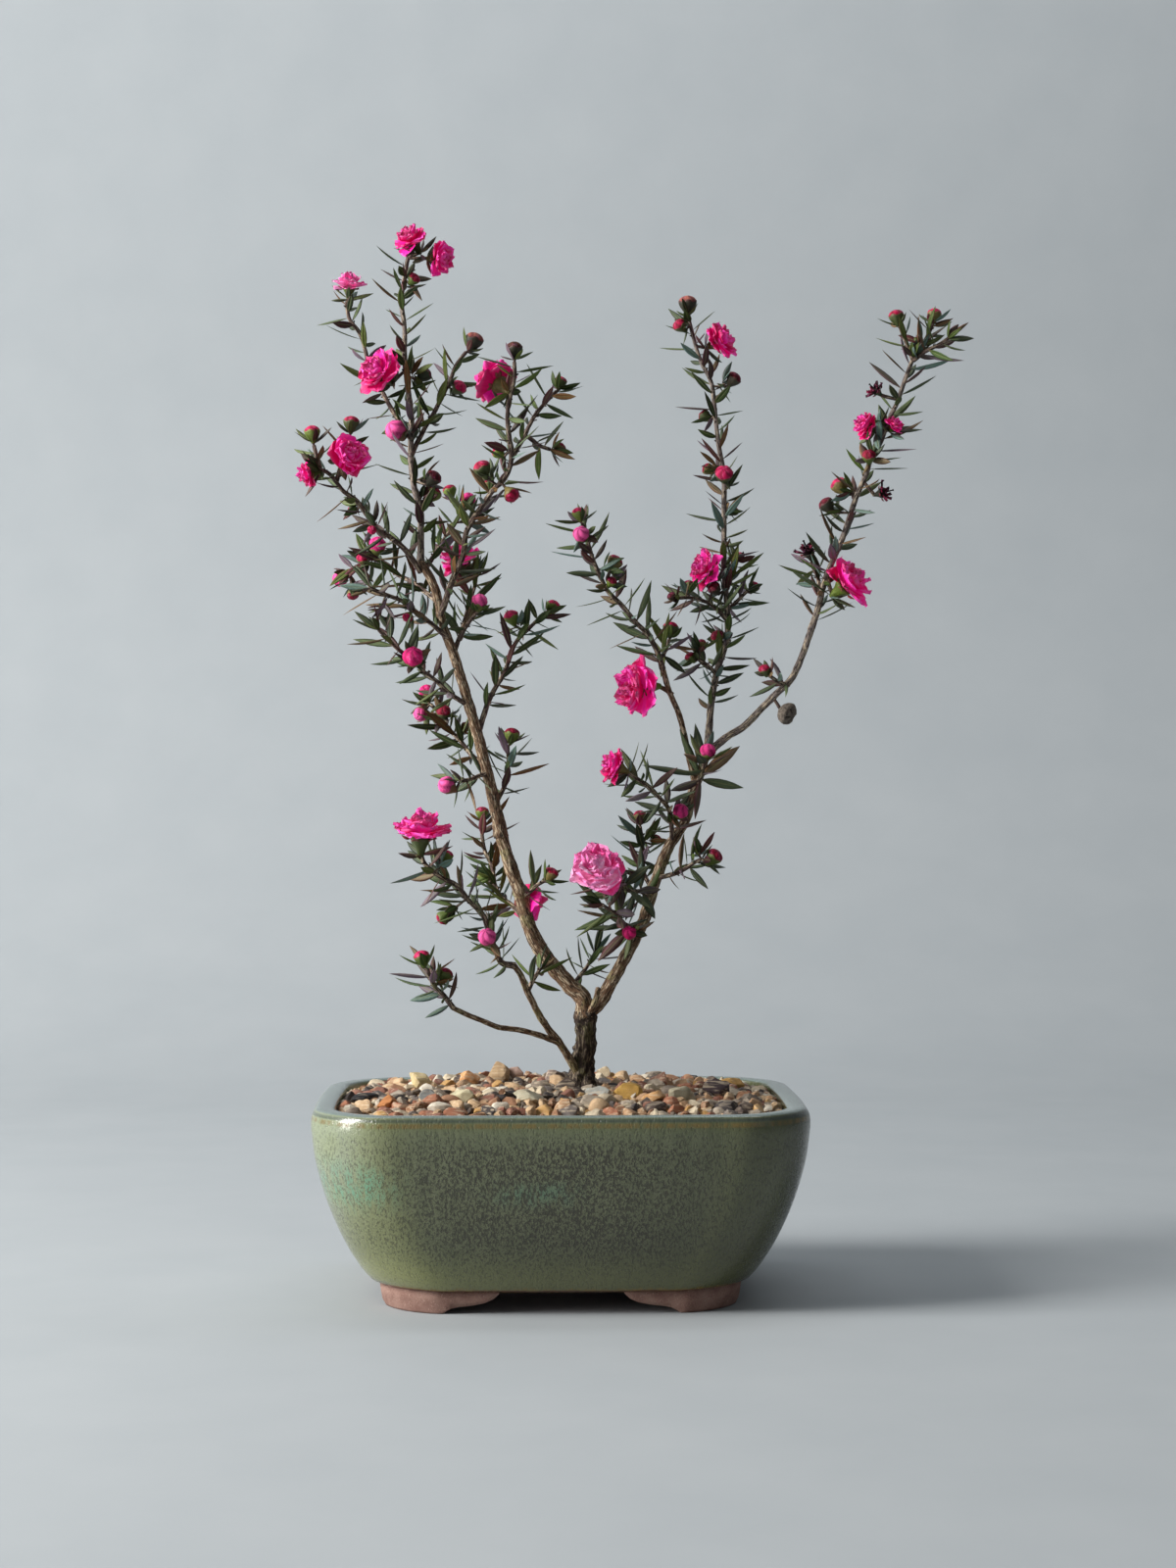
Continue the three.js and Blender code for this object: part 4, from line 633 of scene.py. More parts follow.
# %% Table of limbs
WOOD = [
    ['trunk', [[7, 6, 34], [7, 6, 52], [7, 6, 61], [7, 6, 69], [8, 5, 77], [8, 4, 86]], 3.8, 2.9],
    ['left_limb_low', [[8, 4, 84], [7, 4, 90], [3, 4, 94], [-3, 3, 101], [-7, 2, 107], [-10, 1, 114],
      [-12, 0, 122], [-15, -1, 130], [-18, -2, 140]], 2.6, 1.9],
    ['left_limb_high', [[-18, -2, 140], [-21, -4, 154], [-23, -5, 162], [-25, -5, 170], [-29, -6, 184],
      [-33, -6, 197], [-36, -6, 205], [-39, -6, 218], [-43, -5, 225]], 1.9, 1.25],
    ['right_limb', [[8, 4, 85], [12, 5, 88], [15, 6, 93], [21, 8, 104], [26, 9, 114], [30, 10, 127],
      [34, 11, 137], [39, 12, 145], [41, 12, 153], [43, 13, 158], [45, 14, 164], [46, 14, 168]], 2.1, 1.4],
    ['basal_stem', [[6, 5, 66], [0, 0, 76], [-4, -4, 81], [-7, -9, 86], [-10, -14, 92], [-12, -18, 97],
      [-14, -20, 100]], 1.3, 0.9],
    ['basal_side_stem', [[0, 0, 76], [-5, -5, 78], [-12, -11, 80], [-19, -17, 81], [-24, -22, 83],
      [-29, -26, 85], [-33, -28, 87]], 0.9, 0.75],
    ['arching_stem', [[46, 14, 166], [52, 10, 171], [57, 7, 174], [62, 4, 179], [67, 1, 184],
      [72, -2, 189], [74, -4, 193], [76, -6, 198], [78, -8, 204]], 1.2, 1],
    ['inner_stem', [[42, 13, 157], [40, 11, 165], [39, 9, 170], [37, 6, 178], [34, 3, 185],
      [32, 0, 192]], 0.95, 0.85],
    ['inner_twig', [[35, 4, 184], [32, 3, 186], [29, 2, 187]], 0.7, 0.6],
    ['cut_stub', [[9, 3, 85], [11, -1, 89], [12, -2, 93]], 1, 0.8],
]
print("limbs in the table:", len(WOOD))

# %% Table of shoots
SHOOTS = {
    'shoot_left_leader': (
        [[[[-43, -5, 225], [-43, -4, 235], [-43, -3, 240], [-45, -2, 248], [-46, 0, 256], [-46, 2, 271],
          [-47, 3, 279], [-48, 4, 288], [-48, 5, 297], [-49, 6, 306], [-48, 6, 313], [-47, 6, 319]],
          1.1, 0.65, 8]],
        [(-50, -4, 265, 6.5, 'pink'), (-42, 3, 283, 5, 'dark'), (-39, -3, 251, 5, 'dark'),
          (-39, 3, 246, 5), (-46, -2, 312, 4)]),
    'shoot_left_outer': (
        [[[[-43, -5, 222], [-48, -10, 229], [-53, -13, 233], [-56, -15, 235], [-60, -18, 240],
          [-63, -20, 244], [-67, -22, 247], [-71, -25, 252], [-75, -28, 254]], 0.9, 0.6, 6],
         [[[-69, -24, 250], [-67, -24, 257], [-65, -24, 264]], 0.65, 0.55, 2],
         [[[-74, -28, 254], [-75, -28, 257], [-76, -28, 261]], 0.6, 0.55, 2]],
        [(-76, 0, 263, 5), (-65, 0, 266, 5), (-64, 3, 241, 3.2), (-58, -3, 235, 3)]),
    'shoot_left_back': (
        [[[[-46, 1, 263], [-50, 4, 269], [-53, 7, 274], [-56, 10, 280], [-59, 12, 285], [-60, 14, 290],
          [-62, 16, 296], [-65, 17, 300], [-66, 18, 305]], 0.75, 0.6, 4]],
        []),
    'shoot_crown_right': (
        [[[[-46, 0, 258], [-42, 4, 266], [-39, 8, 271], [-36, 12, 277], [-34, 15, 281], [-32, 17, 286],
          [-29, 18, 290]], 0.75, 0.6, 4]],
        [(-27, 0, 293, 6, 'dark'), (-33, -2, 279, 5)]),
    'shoot_front_tall': (
        [[[[-37, -6, 208], [-35, -9, 214], [-33, -12, 220], [-30, -15, 227], [-29, -18, 234],
          [-27, -20, 238], [-23, -24, 244], [-20, -28, 248], [-17, -31, 251], [-15, -35, 257],
          [-16, -39, 267], [-16, -42, 273], [-14, -44, 282], [-14, -45, 287]], 1, 0.6, 8],
         [[[-15, -35, 257], [-11, -34, 264], [-8, -33, 270], [-4, -32, 275], [-1, -32, 278]], 0.7, 0.55, 2],
         [[[-10, -34, 264], [-6, -32, 261], [-3, -31, 260]], 0.6, 0.55, 2]],
        [(-14, 0, 290, 5, 'dark'), (-1, 1, 280, 4), (-1, 1, 261, 4), (-19, 2, 259, 4),
          (-24, -2, 254, 5.5), (-22, 2, 247, 4), (-15, -3, 246, 5)]),
    'shoot_short_back': (
        [[[[-42, -6, 222], [-37, 2, 230], [-33, 9, 236], [-30, 14, 241]], 0.75, 0.6, 4]],
        [(-29, 0, 243, 5, 'pink'), (-34, 2, 247, 4.5)]),
    'shoot_centre_bloom': (
        [[[[-33, -6, 196], [-30, -1, 205], [-28, 3, 212], [-26, 6, 219], [-26, 8, 222]], 0.75, 0.6, 5],
         [[[-31, -4, 201], [-29, -8, 205], [-26, -10, 209]], 0.65, 0.55, 2]],
        [(-26, 0, 211, 5, 'pink')]),
    'shoot_right_of_limb': (
        [[[[-25, -5, 173], [-22, -3, 182], [-20, 0, 186], [-17, 4, 191], [-15, 8, 197], [-13, 11, 201],
          [-9, 15, 205], [-5, 19, 209]], 0.85, 0.6, 7]],
        [(-15, -3, 208, 5), (-2, 0, 211, 5)]),
    'shoot_left_spread': (
        [[[[-38, -6, 213], [-42, -2, 216], [-46, 2, 219], [-50, 6, 221], [-53, 9, 224], [-58, 12, 226],
          [-62, 16, 224], [-65, 18, 222]], 0.75, 0.6, 4]],
        [(-56, -3, 229, 5.5, 'pink'), (-66, 0, 221, 5, 'pink'), (-61, -4, 226, 4), (-64, -4, 215, 4)]),
    'shoot_left_front': (
        [[[[-34, -6, 201], [-41, -12, 207], [-45, -15, 210], [-49, -18, 213], [-54, -21, 215],
          [-59, -24, 217]], 0.75, 0.6, 4]],
        [(-57, -3, 206, 3), (-47, -3, 208, 3.4)]),
    'shoot_left_low_front': (
        [[[[-29, -6, 181], [-35, -11, 185], [-38, -14, 188], [-42, -17, 191], [-45, -20, 194],
          [-50, -24, 198], [-53, -26, 201], [-56, -28, 204]], 0.75, 0.6, 4]],
        [(-45, -5, 195, 6.3, 'pink')]),
    'shoot_left_low_back': (
        [[[[-24, -5, 162], [-28, -1, 166], [-31, 2, 170], [-35, 5, 174], [-37, 8, 178], [-40, 9, 181]],
          0.75, 0.6, 4]],
        [(-40, 0, 184, 5, 'pink'), (-43, -2, 178, 4.5, 'pink'), (-36, -4, 178, 5), (-29, 3, 174, 3.5)]),
    'shoot_pink_bud': (
        [[[[-22, -5, 160], [-27, -9, 158], [-31, -13, 157]], 0.65, 0.55, 3]],
        [(-34, 0, 156, 5.5, 'pink')]),
    'shoot_green_bud': (
        [[[[-20, -3, 150], [-17, 0, 156], [-16, 2, 162], [-16, 4, 168]], 0.7, 0.55, 4]],
        [(-14, 0, 172, 5)]),
    'shoot_basal_tall': (
        [[[[-14, -20, 100], [-18, -22, 101], [-20, -24, 105], [-22, -26, 111], [-24, -28, 116],
          [-28, -30, 120], [-32, -32, 125], [-36, -34, 127], [-39, -35, 129], [-42, -36, 132],
          [-43, -37, 136]], 0.9, 0.65, 3]],
        [(-22, -4, 108, 5.5, 'pink'), (-36, 3, 115, 4.5), (-35, 3, 134, 4)]),
    'shoot_basal_low': (
        [[[[-33, -28, 87], [-36, -30, 91], [-39, -32, 94], [-41, -34, 99]], 0.75, 0.6, 1]],
        [(-43, 0, 103, 5), (-36, 2, 96, 5)]),
    'shoot_behind_limb': (
        [[[[-11, 1, 114], [-15, 6, 119], [-18, 8, 121], [-20, 11, 125], [-21, 13, 131], [-23, 15, 135],
          [-24, 17, 140], [-24, 18, 144]], 0.75, 0.6, 5]],
        [(-22, 2, 127, 4.8), (-24, 0, 147, 4.5)]),
    'shoot_limb_bud': (
        [[[[-12, 0, 121], [-9, -3, 123], [-7, -5, 125], [-5, -6, 126]], 0.65, 0.55, 3]],
        [(-4, 0, 128, 4.5)]),
    'shoot_basal_inner': (
        [[[[-10, -14, 92], [-8, -12, 96], [-6, -10, 99]], 0.65, 0.55, 2]],
        []),
    'shoot_right_upright': (
        [[[[46, 14, 168], [47, 17, 181], [48, 19, 187], [49, 20, 192], [52, 22, 202], [52, 23, 211],
          [51, 25, 224], [51, 26, 233], [51, 27, 242], [51, 28, 251], [49, 29, 264], [48, 30, 274],
          [47, 31, 281], [44, 31, 287], [42, 32, 293], [40, 32, 301]], 1.15, 0.6, 12],
         [[[52, 22, 207], [47, 17, 212], [41, 13, 214], [37, 10, 214]], 0.65, 0.55, 3],
         [[[49, 20, 190], [46, 16, 193], [43, 13, 195]], 0.65, 0.55, 2],
         [[[52, 23, 210], [56, 28, 214], [58, 31, 216]], 0.65, 0.55, 2],
         [[[52, 24, 217], [54, 28, 222], [55, 30, 225]], 0.65, 0.55, 2]],
        [(40, 0, 306, 6, 'dark'), (38, -2, 298, 4.5), (54, -2, 282, 5, 'dark'), (46, 2, 270, 4.2),
          (46, 2, 254, 4), (51, -4, 252, 6), (54, 2, 241, 3.4), (40, 2, 218, 3.6),
          (34, 0, 215, 3, 'dark'), (48, -3, 217, 4.5, 'dark'), (56, 0, 227, 3), (60, 0, 217, 4),
          (49, -4, 202, 4.5), (41, 0, 195, 3.6), (44, 0, 200, 3)]),
    'shoot_right_arching': (
        [[[[78, -8, 204], [80, -9, 210], [82, -11, 218], [85, -14, 226], [88, -16, 233], [90, -18, 239],
          [92, -20, 245], [95, -22, 252], [97, -23, 258], [100, -24, 263], [102, -26, 269],
          [105, -27, 275], [107, -28, 281], [110, -30, 289]], 1, 0.65, 3],
         [[[110, -30, 288], [108, -30, 293], [106, -30, 298]], 0.6, 0.55, 1],
         [[[110, -30, 288], [114, -33, 291], [118, -35, 293], [121, -37, 295]], 0.6, 0.55, 1],
         [[[110, -30, 288], [113, -29, 293], [116, -26, 299]], 0.6, 0.55, 2],
         [[[81, -11, 215], [80, -6, 221], [78, -3, 225]], 0.65, 0.55, 3]],
        [(96, -3, 257, 4.5), (87, 2, 249, 5.5), (83, 2, 243, 5, 'dark'), (105, 0, 301, 4.8),
          (116, 0, 302, 4.4), (111, 3, 294, 3)]),
    'shoot_arching_low': (
        [[[[71, -1, 187], [68, -6, 188], [65, -9, 190]], 0.65, 0.55, 2]],
        [(64, -2, 192, 3.8)]),
    'shoot_right_inner': (
        [[[[32, 0, 192], [30, -3, 198], [27, -6, 203], [24, -9, 206], [19, -12, 212], [15, -15, 216],
          [12, -18, 222], [10, -20, 227], [8, -22, 234], [7, -23, 237]], 0.85, 0.6, 2],
         [[[31, -1, 195], [33, 4, 198], [34, 7, 201]], 0.65, 0.55, 2]],
        [(7, -4, 233, 5, 'pink'), (6, 0, 240, 4.2), (17, 3, 225, 5), (16, -3, 219, 3.4), (34, 0, 204, 5)]),
    'shoot_low_ragged_bloom': (
        [[[[35, 11, 137], [34, 7, 148], [31, 3, 152], [28, 0, 155], [24, -4, 158], [21, -6, 160]],
          0.75, 0.6, 5]],
        [(37, -3, 147, 5, 'pink')]),
    'shoot_low_right': (
        [[[[30, 10, 127], [37, 5, 129], [42, 2, 132], [44, 1, 133]], 0.75, 0.6, 5]],
        [(47, -1, 133, 5.5), (43, 3, 136, 3.4)]),
    'shoot_low_big_bloom': (
        [[[[28, 9, 121], [25, 4, 123], [22, 0, 123], [19, -4, 125], [15, -8, 126]], 0.7, 0.6, 3]],
        []),
    'shoot_low_whorl': (
        [[[[25, 9, 111], [20, 3, 112], [18, -1, 116], [16, -4, 117], [13, -6, 119]], 0.65, 0.55, 3]],
        [(22, -4, 110, 4.5, 'pink')]),
    'shoot_fork_twig': (
        [[[[4, 5, 94], [8, 10, 99], [11, 13, 104]], 0.65, 0.55, 4]],
        []),
    'shoot_low_back': (
        [[[[29, 9, 123], [26, 13, 129], [26, 17, 135], [25, 21, 143]], 0.7, 0.55, 4]],
        [(25, 0, 147, 4.4), (30, 2, 139, 3.6)]),
    'shoot_large_leaves': (
        [[[[43, 12, 157], [44, 5, 159], [45, 1, 163]], 0.75, 0.6, 3]],
        [(46, -1, 166, 5, 'pink')]),
}
print("shoots in the table:", len(SHOOTS))

# %% Table of flowers
BLOOMS = [
    ('bloom_top_left', 'shoot_left_leader', -46, 325, 13.5, [-0.5, -0.45, 0.75], 'crimson'),
    ('bloom_top_right', 'shoot_left_leader', -37, 319, 12.5, [0.8, -0.5, -0.1], 'crimson'),
    ('bloom_left_pale', 'shoot_left_back', -65, 311, 12, [0.1, -0.2, 1], 'pale'),
    ('bloom_leader', 'shoot_left_leader', -56, 284, 17.5, [-0.55, -0.7, 0.45], 'crimson'),
    ('bloom_outer_front', 'shoot_left_outer', -65, 258, 14.5, [0.5, -0.8, 0.2], 'crimson'),
    ('bloom_outer_left', 'shoot_left_outer', -78, 252, 10, [-0.9, -0.3, -0.25], 'crimson'),
    ('bloom_tall_back', 'shoot_front_tall', -20, 281, 16.5, [-0.6, 0.55, 0.55], 'crimson'),
    ('bloom_centre', 'shoot_centre_bloom', -31, 226, 17, [-0.45, -0.35, 0.8], 'crimson'),
    ('bloom_basal', 'shoot_basal_tall', -43, 142, 19, [0, -0.2, 1], 'crimson'),
    ('bloom_limb', 'left_limb_low', -10, 120, 15, [0.6, 0.6, -0.35], 'crimson'),
    ('bloom_low_full', 'shoot_low_big_bloom', 12, 130, 20.5, [-0.15, -0.75, 0.65], 'pale'),
    ('bloom_low_ragged', 'shoot_low_ragged_bloom', 17, 162, 12.5, [-0.9, -0.2, 0.4], 'crimson'),
    ('bloom_inner_side', 'inner_twig', 24, 186, 19.5, [-0.9, -0.4, -0.1], 'crimson'),
    ('bloom_upright_left', 'shoot_right_upright', 45, 223, 15.5, [-0.75, -0.4, 0.5], 'crimson'),
    ('bloom_upright_top', 'shoot_right_upright', 50, 294, 14.5, [0.8, -0.45, 0.35], 'crimson'),
    ('bloom_arching_left', 'shoot_right_arching', 95, 268, 10.5, [-0.8, -0.35, 0.5], 'crimson'),
    ('bloom_arching_half', 'shoot_right_arching', 104, 268, 7, [0.4, -0.6, 0.7], 'crimson'),
    ('bloom_arching_right', 'shoot_right_arching', 90, 219, 18, [0.7, -0.45, 0.55], 'crimson'),
    ('spent_flower_high', 'shoot_right_arching', 98, 279, 8, [-0.7, -0.4, 0.55], 'spent'),
    ('spent_flower_middle', 'shoot_right_arching', 101, 247, 9, [0.85, -0.4, 0.2], 'spent'),
    ('spent_flower_low', 'shoot_right_arching', 77, 229, 10.5, [-0.4, -0.3, 0.8], 'spent'),
    ('seed_capsule', 'arching_stem', 71, 178, 7, [0.75, -0.5, -0.4], 'capsule'),
]
print("flowers in the table:", len(BLOOMS))

# %% [markdown]
# ## From a table to a smooth line
# A curve object could run through the points, but the leaves and flowers have to ask the line where it
# is and which way it points, so the curve is worked out here: a centripetal Catmull-Rom curve, which
# passes through every point without loops, cut into even steps.

# %% Smooth lines
UP, ASIDE = Vector((0, 0, 1)), Vector((1, 0, 0))


def seen(point):
    across, behind, up = point
    stretch = (behind - EYE.y) / -EYE.y
    return Vector((EYE.x + (across - EYE.x) * stretch, behind, EYE.z + (up - EYE.z) * stretch))


def catmull(points, per_span=16):
    ends = [points[0] * 2 - points[1], *points, points[-1] * 2 - points[-2]]
    line = []
    for p0, p1, p2, p3 in zip(ends, ends[1:], ends[2:], ends[3:]):
        d0, d1, d2 = (math.sqrt((b - a).length) for a, b in ((p0, p1), (p1, p2), (p2, p3)))
        t1 = ((p1 - p0) / d0 - (p2 - p0) / (d0 + d1) + (p2 - p1) / d1) * d1
        t2 = ((p2 - p1) / d1 - (p3 - p1) / (d1 + d2) + (p3 - p2) / d2) * d1
        for k in range(per_span):
            t = k / per_span
            line.append(p1 + t1 * t + (p2 * 3 - p1 * 3 - t1 * 2 - t2) * t * t
                        + (p1 * 2 - p2 * 2 + t1 + t2) * t ** 3)
    return line + [points[-1]]


class Stem:
    """A tapering line that can be asked for its point, direction and radius at any length along it."""

    def __init__(self, owner, route, thick, thin, bare=0.0):
        dense = catmull(route) if len(route) > 2 else route
        run = [0.0]
        for a, b in zip(dense, dense[1:]):
            run.append(run[-1] + (b - a).length)
        self.owner, self.dense, self.run = owner, dense, run
        self.thick, self.thin, self.bare, self.length = thick, thin, bare, run[-1]
        self.end_bud = None

    def point(self, distance):
        distance = min(max(distance, 0.0), self.length)
        k = min(int(numpy.searchsorted(self.run, distance, side="right")) - 1, len(self.dense) - 2)
        share = (distance - self.run[k]) / max(self.run[k + 1] - self.run[k], 1e-9)
        return self.dense[k].lerp(self.dense[k + 1], share)

    def along(self, distance):
        return (self.point(distance + 0.6) - self.point(distance - 0.6)).normalized()

    def radius(self, distance):
        return self.thick + (self.thin - self.thick) * min(max(distance / self.length, 0), 1)


def square_to(axis):
    start = ASIDE if abs(axis.z) > 0.9 else UP
    side = (start - axis * start.dot(axis)).normalized()
    return side, axis.cross(side)


def spoke(axis, turn):
    """The way straight out from an axis, at a turn round it."""
    side, other = square_to(axis)
    return side * math.cos(turn) + other * math.sin(turn)


SEARCH_STEPS = 60


def nearest_on(stems, across, up):
    """The stem, the distance along it and the point that look nearest to a place in the photograph's plane."""
    best = None
    for stem in stems:
        for i in range(SEARCH_STEPS + 1):
            distance = stem.length * i / SEARCH_STEPS
            point = stem.point(distance)
            goal = seen((across, point.y, up))
            miss = math.hypot(goal.x - point.x, goal.z - point.z)
            if best is None or miss < best[0]:
                best = (miss, stem, distance, point)
    return best[1:]


limbs = {name: Stem("wood", [seen(p) for p in route], thick, thin) for name, route, thick, thin in WOOD}
shoots = {name: [Stem(name, [seen(p) for p in route], thick, thin, bare) for route, thick, thin, bare in stems]
          for name, (stems, _) in SHOOTS.items()}
print("limbs:", len(limbs), "shoots:", len(shoots), "length of stems:",
      round(sum(stem.length for stems in shoots.values() for stem in stems)), "mm")

# %% [markdown]
# ## Where the flowers and buds sit
# A flower is named with the stem that carries it and the place where it is seen. It goes to the depth of
# the nearest point of its stem, so that it looks right from the camera and also hangs on its twig from
# every other side. Where it stands off the twig, a thin stalk bridges the gap.

# %% Flowers and buds find their stems
NECK = 0.4
flowers, stalks = [], {name: [] for name in [*shoots, "wood"]}
for name, carrier, across, up, width, facing, kind in BLOOMS:
    axis = Vector(facing).normalized()
    stem, distance, foot = nearest_on(shoots.get(carrier) or [limbs[carrier]], across, up)
    centre = seen((across, foot.y + axis.y * NECK * width, up))
    neck = centre - axis * (NECK * width)
    flowers.append({"name": name, "carrier": carrier, "centre": centre, "axis": axis, "width": width,
                    "kind": kind})
    if (neck - foot).length - stem.radius(distance) > 0.3:
        stalks[stem.owner].append(Stem(stem.owner, [foot, neck + axis * 0.3], 0.5, 0.6))

buds = {name: [] for name in shoots}
for name, (_, table) in SHOOTS.items():
    for across, lift, up, width, *word in table:
        stem, distance, foot = nearest_on(shoots[name], across, up)
        end = stem.point(stem.length)
        at_tip = (foot - end).length < 2.2 and stem.end_bud is None
        centre = seen((across, foot.y + lift, up))
        foot = end if at_tip else foot
        least = 0.4 + 0.68 * width if at_tip else stem.radius(distance) + 0.85 * width
        if (centre - foot).length < least or at_tip:
            away = (centre - foot + stem.along(distance) * (2 if at_tip else 0.6)).normalized()
            centre = foot + away * max(least, 0 if at_tip else (centre - foot).length)
        bud = {"foot": foot, "centre": centre, "width": width, "kind": word[0] if word else "green"}
        if at_tip:
            stem.end_bud = bud
        buds[name].append(bud)
print("flowers:", len(flowers), "buds:", sum(len(some) for some in buds.values()))

# %% [markdown]
# ## Stems and bark
# A stem is a tube of rings that turn as little as possible from one to the next, which keeps its grain
# straight. Old bark is thick, ridged and flaking, young bark is thin with long pale fibres. The ridges
# are cut into the mesh with noise that is stretched along the stem, and each point is marked with its
# place on the stem laid out straight, so that the finish's grain runs the same way.

# %% A stem's tube
def frames(points):
    """A side and its partner at every point of a line, turning as little as possible."""
    found, side = [], None
    for i in range(len(points)):
        along = (points[min(i + 1, len(points) - 1)] - points[max(i - 1, 0)]).normalized()
        side = square_to(along)[0] if side is None else (side - along * side.dot(along)).normalized()
        found.append((along, side, along.cross(side)))
    return found


def tube(shape, stem, sides, step, finish, tint, ridge=0.0, flare=None, close_start=False):
    count = max(2, round(stem.length / step))
    lengths = [stem.length * i / count for i in range(count + 1)]
    points = [stem.point(length) for length in lengths]
    seed = (stem.thick * 31.7 + stem.length * 3.1) % 97
    rows, marks = [], []
    for length, point, (along, side, other) in zip(lengths, points, frames(points)):
        radius = stem.radius(length) * (1 + (flare(length, point) if flare else 0))
        row, notes = [], []
        for k in range(sides):
            turn = 2 * math.pi * k / sides
            c, s = math.cos(turn), math.sin(turn)
            out = radius
            if ridge:
                spot = Vector((c * radius * 0.9, s * radius * 0.9, length * 0.22 + seed))
                out += ridge * radius * (noise.noise(spot * 1.3) + 0.5 * noise.noise(spot * 3.1))
            row.append(point + (side * c + other * s) * out)
            notes.append((c * radius, s * radius, length + seed))
        rows.append(row)
        marks.append(notes)
    last = points[-1] + along * (stem.thin * 0.6)
    rows.append([last.lerp(p, 0.3) for p in rows[-1]])
    marks.append(marks[-1])
    shape.grid(rows, finish, tint, marks, around=True, caps="last first" if close_start else "last")


def bark_finish(name, old):
    bark = Finish(name)
    notes = bark.written("marks")
    tint = bark.written("tint", "Color")
    fibre = bark.clouds(bark.stretched(notes, (1.0, 1.0, 0.16)), 1.9, 4.0, 0.6)
    plates = bark.clouds(bark.stretched(notes, (0.55, 0.55, 0.13)), 1.2, 3.0)
    cracks = bark.clouds(bark.stretched(notes, (1.6, 1.6, 0.3)), 2.2, 2.0)
    place = bark.place()
    height = place.part("Z")
    bright = (1 - height.rises(190, 250) * 0.4) * (0.3 if old else 0.8)
    lichen = bark.clouds(place, 0.16, 4.0, 0.65).rises(0.54, 0.62) * height.falls(150, 200)
    colour = bark.coats(
        tint,
        (plates.rises(0.35, 0.65) * 0.6, bark.times(tint, (0.55, 0.5, 0.48))),
        (fibre.rises(0.50, 0.61) * bright, (206, 188, 160)),
        (lichen * (0.2 if old else 0.35), (150, 148, 98)),
        ((1 - cracks).rises(0.50, 0.60) * 0.9, (36, 27, 22)),
    )
    relief = fibre * 0.7 + plates + cracks * 0.5
    return bark.close(colour, 0.72 + fibre * 0.25, relief, 0.5 if old else 0.16, {"Specular IOR Level": 0.3})


old_bark, young_bark = bark_finish("flaking_bark", True), bark_finish("fibrous_bark", False)
TRUNK_TINT, LIMB_TINT, TWIG_TINT, SILVER_TINT = paints((50, 38, 31), (116, 90, 68), (98, 80, 74), (124, 113, 108))
SILVER = {"arching_stem", "shoot_right_upright", "shoot_right_arching", "shoot_left_leader"}
print("finishes of bark:", old_bark.name, young_bark.name)

# %% Trunk and limbs
def trunk_swell(length, point):
    """The trunk spreads where it meets the pebbles and swells below the fork."""
    return 0.4 * math.exp(-max(point.z - 61, 0) / 4) + 0.16 * math.exp(-abs(point.z - 84) / 4)


def limb_swell(length, point):
    return 0.18 * math.exp(-length / 5)


OLD_BARK, YOUNG_BARK = 0, 1
wood = Shape()
for name, stem in limbs.items():
    if name == "trunk":
        tube(wood, stem, 36, 0.7, OLD_BARK, TRUNK_TINT, 0.34, trunk_swell, True)
    elif stem.thick > 1.6:
        tube(wood, stem, 20, 1.0, YOUNG_BARK, LIMB_TINT, 0.18, limb_swell, True)
    else:
        tint = SILVER_TINT if name in SILVER else LIMB_TINT
        tube(wood, stem, 12, 1.2, YOUNG_BARK, tint, 0.14, limb_swell, True)
for stalk in stalks["wood"]:
    tube(wood, stalk, 8, 1.5, YOUNG_BARK, TWIG_TINT, 0.1, close_start=True)
make_piece(wood, "trunk_and_limbs", [old_bark, young_bark], "bark", "tree_wood")
print("trunk and limbs:", triangle_counts["trunk_and_limbs"], "triangles")

# %% [markdown]
# ## Room for each leaf
# About fifteen hundred leaves would grow through each other and through the flowers if they were only
# strewn. So everything that stands is kept in one list of rounded rods with an owner, and each new leaf
# is tried at a few turns round its stem until its own rod is clear. The sums for all rods are done at
# once with arrays, which keeps this quick.

# %% Rods that are in the way
class Crowd:
    """Rounded rods, each with its two ends, its radius and its owner's number. Owner -1 is nobody."""

    def __init__(self, most):
        self.a, self.b = numpy.zeros((most, 3)), numpy.zeros((most, 3))
        self.r, self.owner = numpy.zeros(most), numpy.zeros(most, int)
        self.count = 0

    def add(self, a, b, radius, owner):
        k = self.count
        self.a[k], self.b[k], self.r[k], self.owner[k] = a, b, radius, owner
        self.count += 1

    def clear(self, start, tip, owner, room, ignore):
        """Whether a rod from start to tip is free of all rods but its owner's, and of one to ignore."""
        n = self.count
        a, b = self.a[:n], self.b[:n]
        along = b - a
        length = (along ** 2).sum(1) + 1e-9
        for share in (0.12, 0.35, 0.6, 0.8, 1.0):
            point = numpy.array(start.lerp(tip, share))
            t = numpy.clip(((point - a) * along).sum(1) / length, 0, 1)
            gap = numpy.sqrt(((point - a - along * t[:, None]) ** 2).sum(1)) - self.r[:n]
            near = (gap < room) & (self.owner[:n] != owner)
            if ignore >= 0 and share < 0.5:
                near[ignore] = False
            if near.any():
                return False
        return True


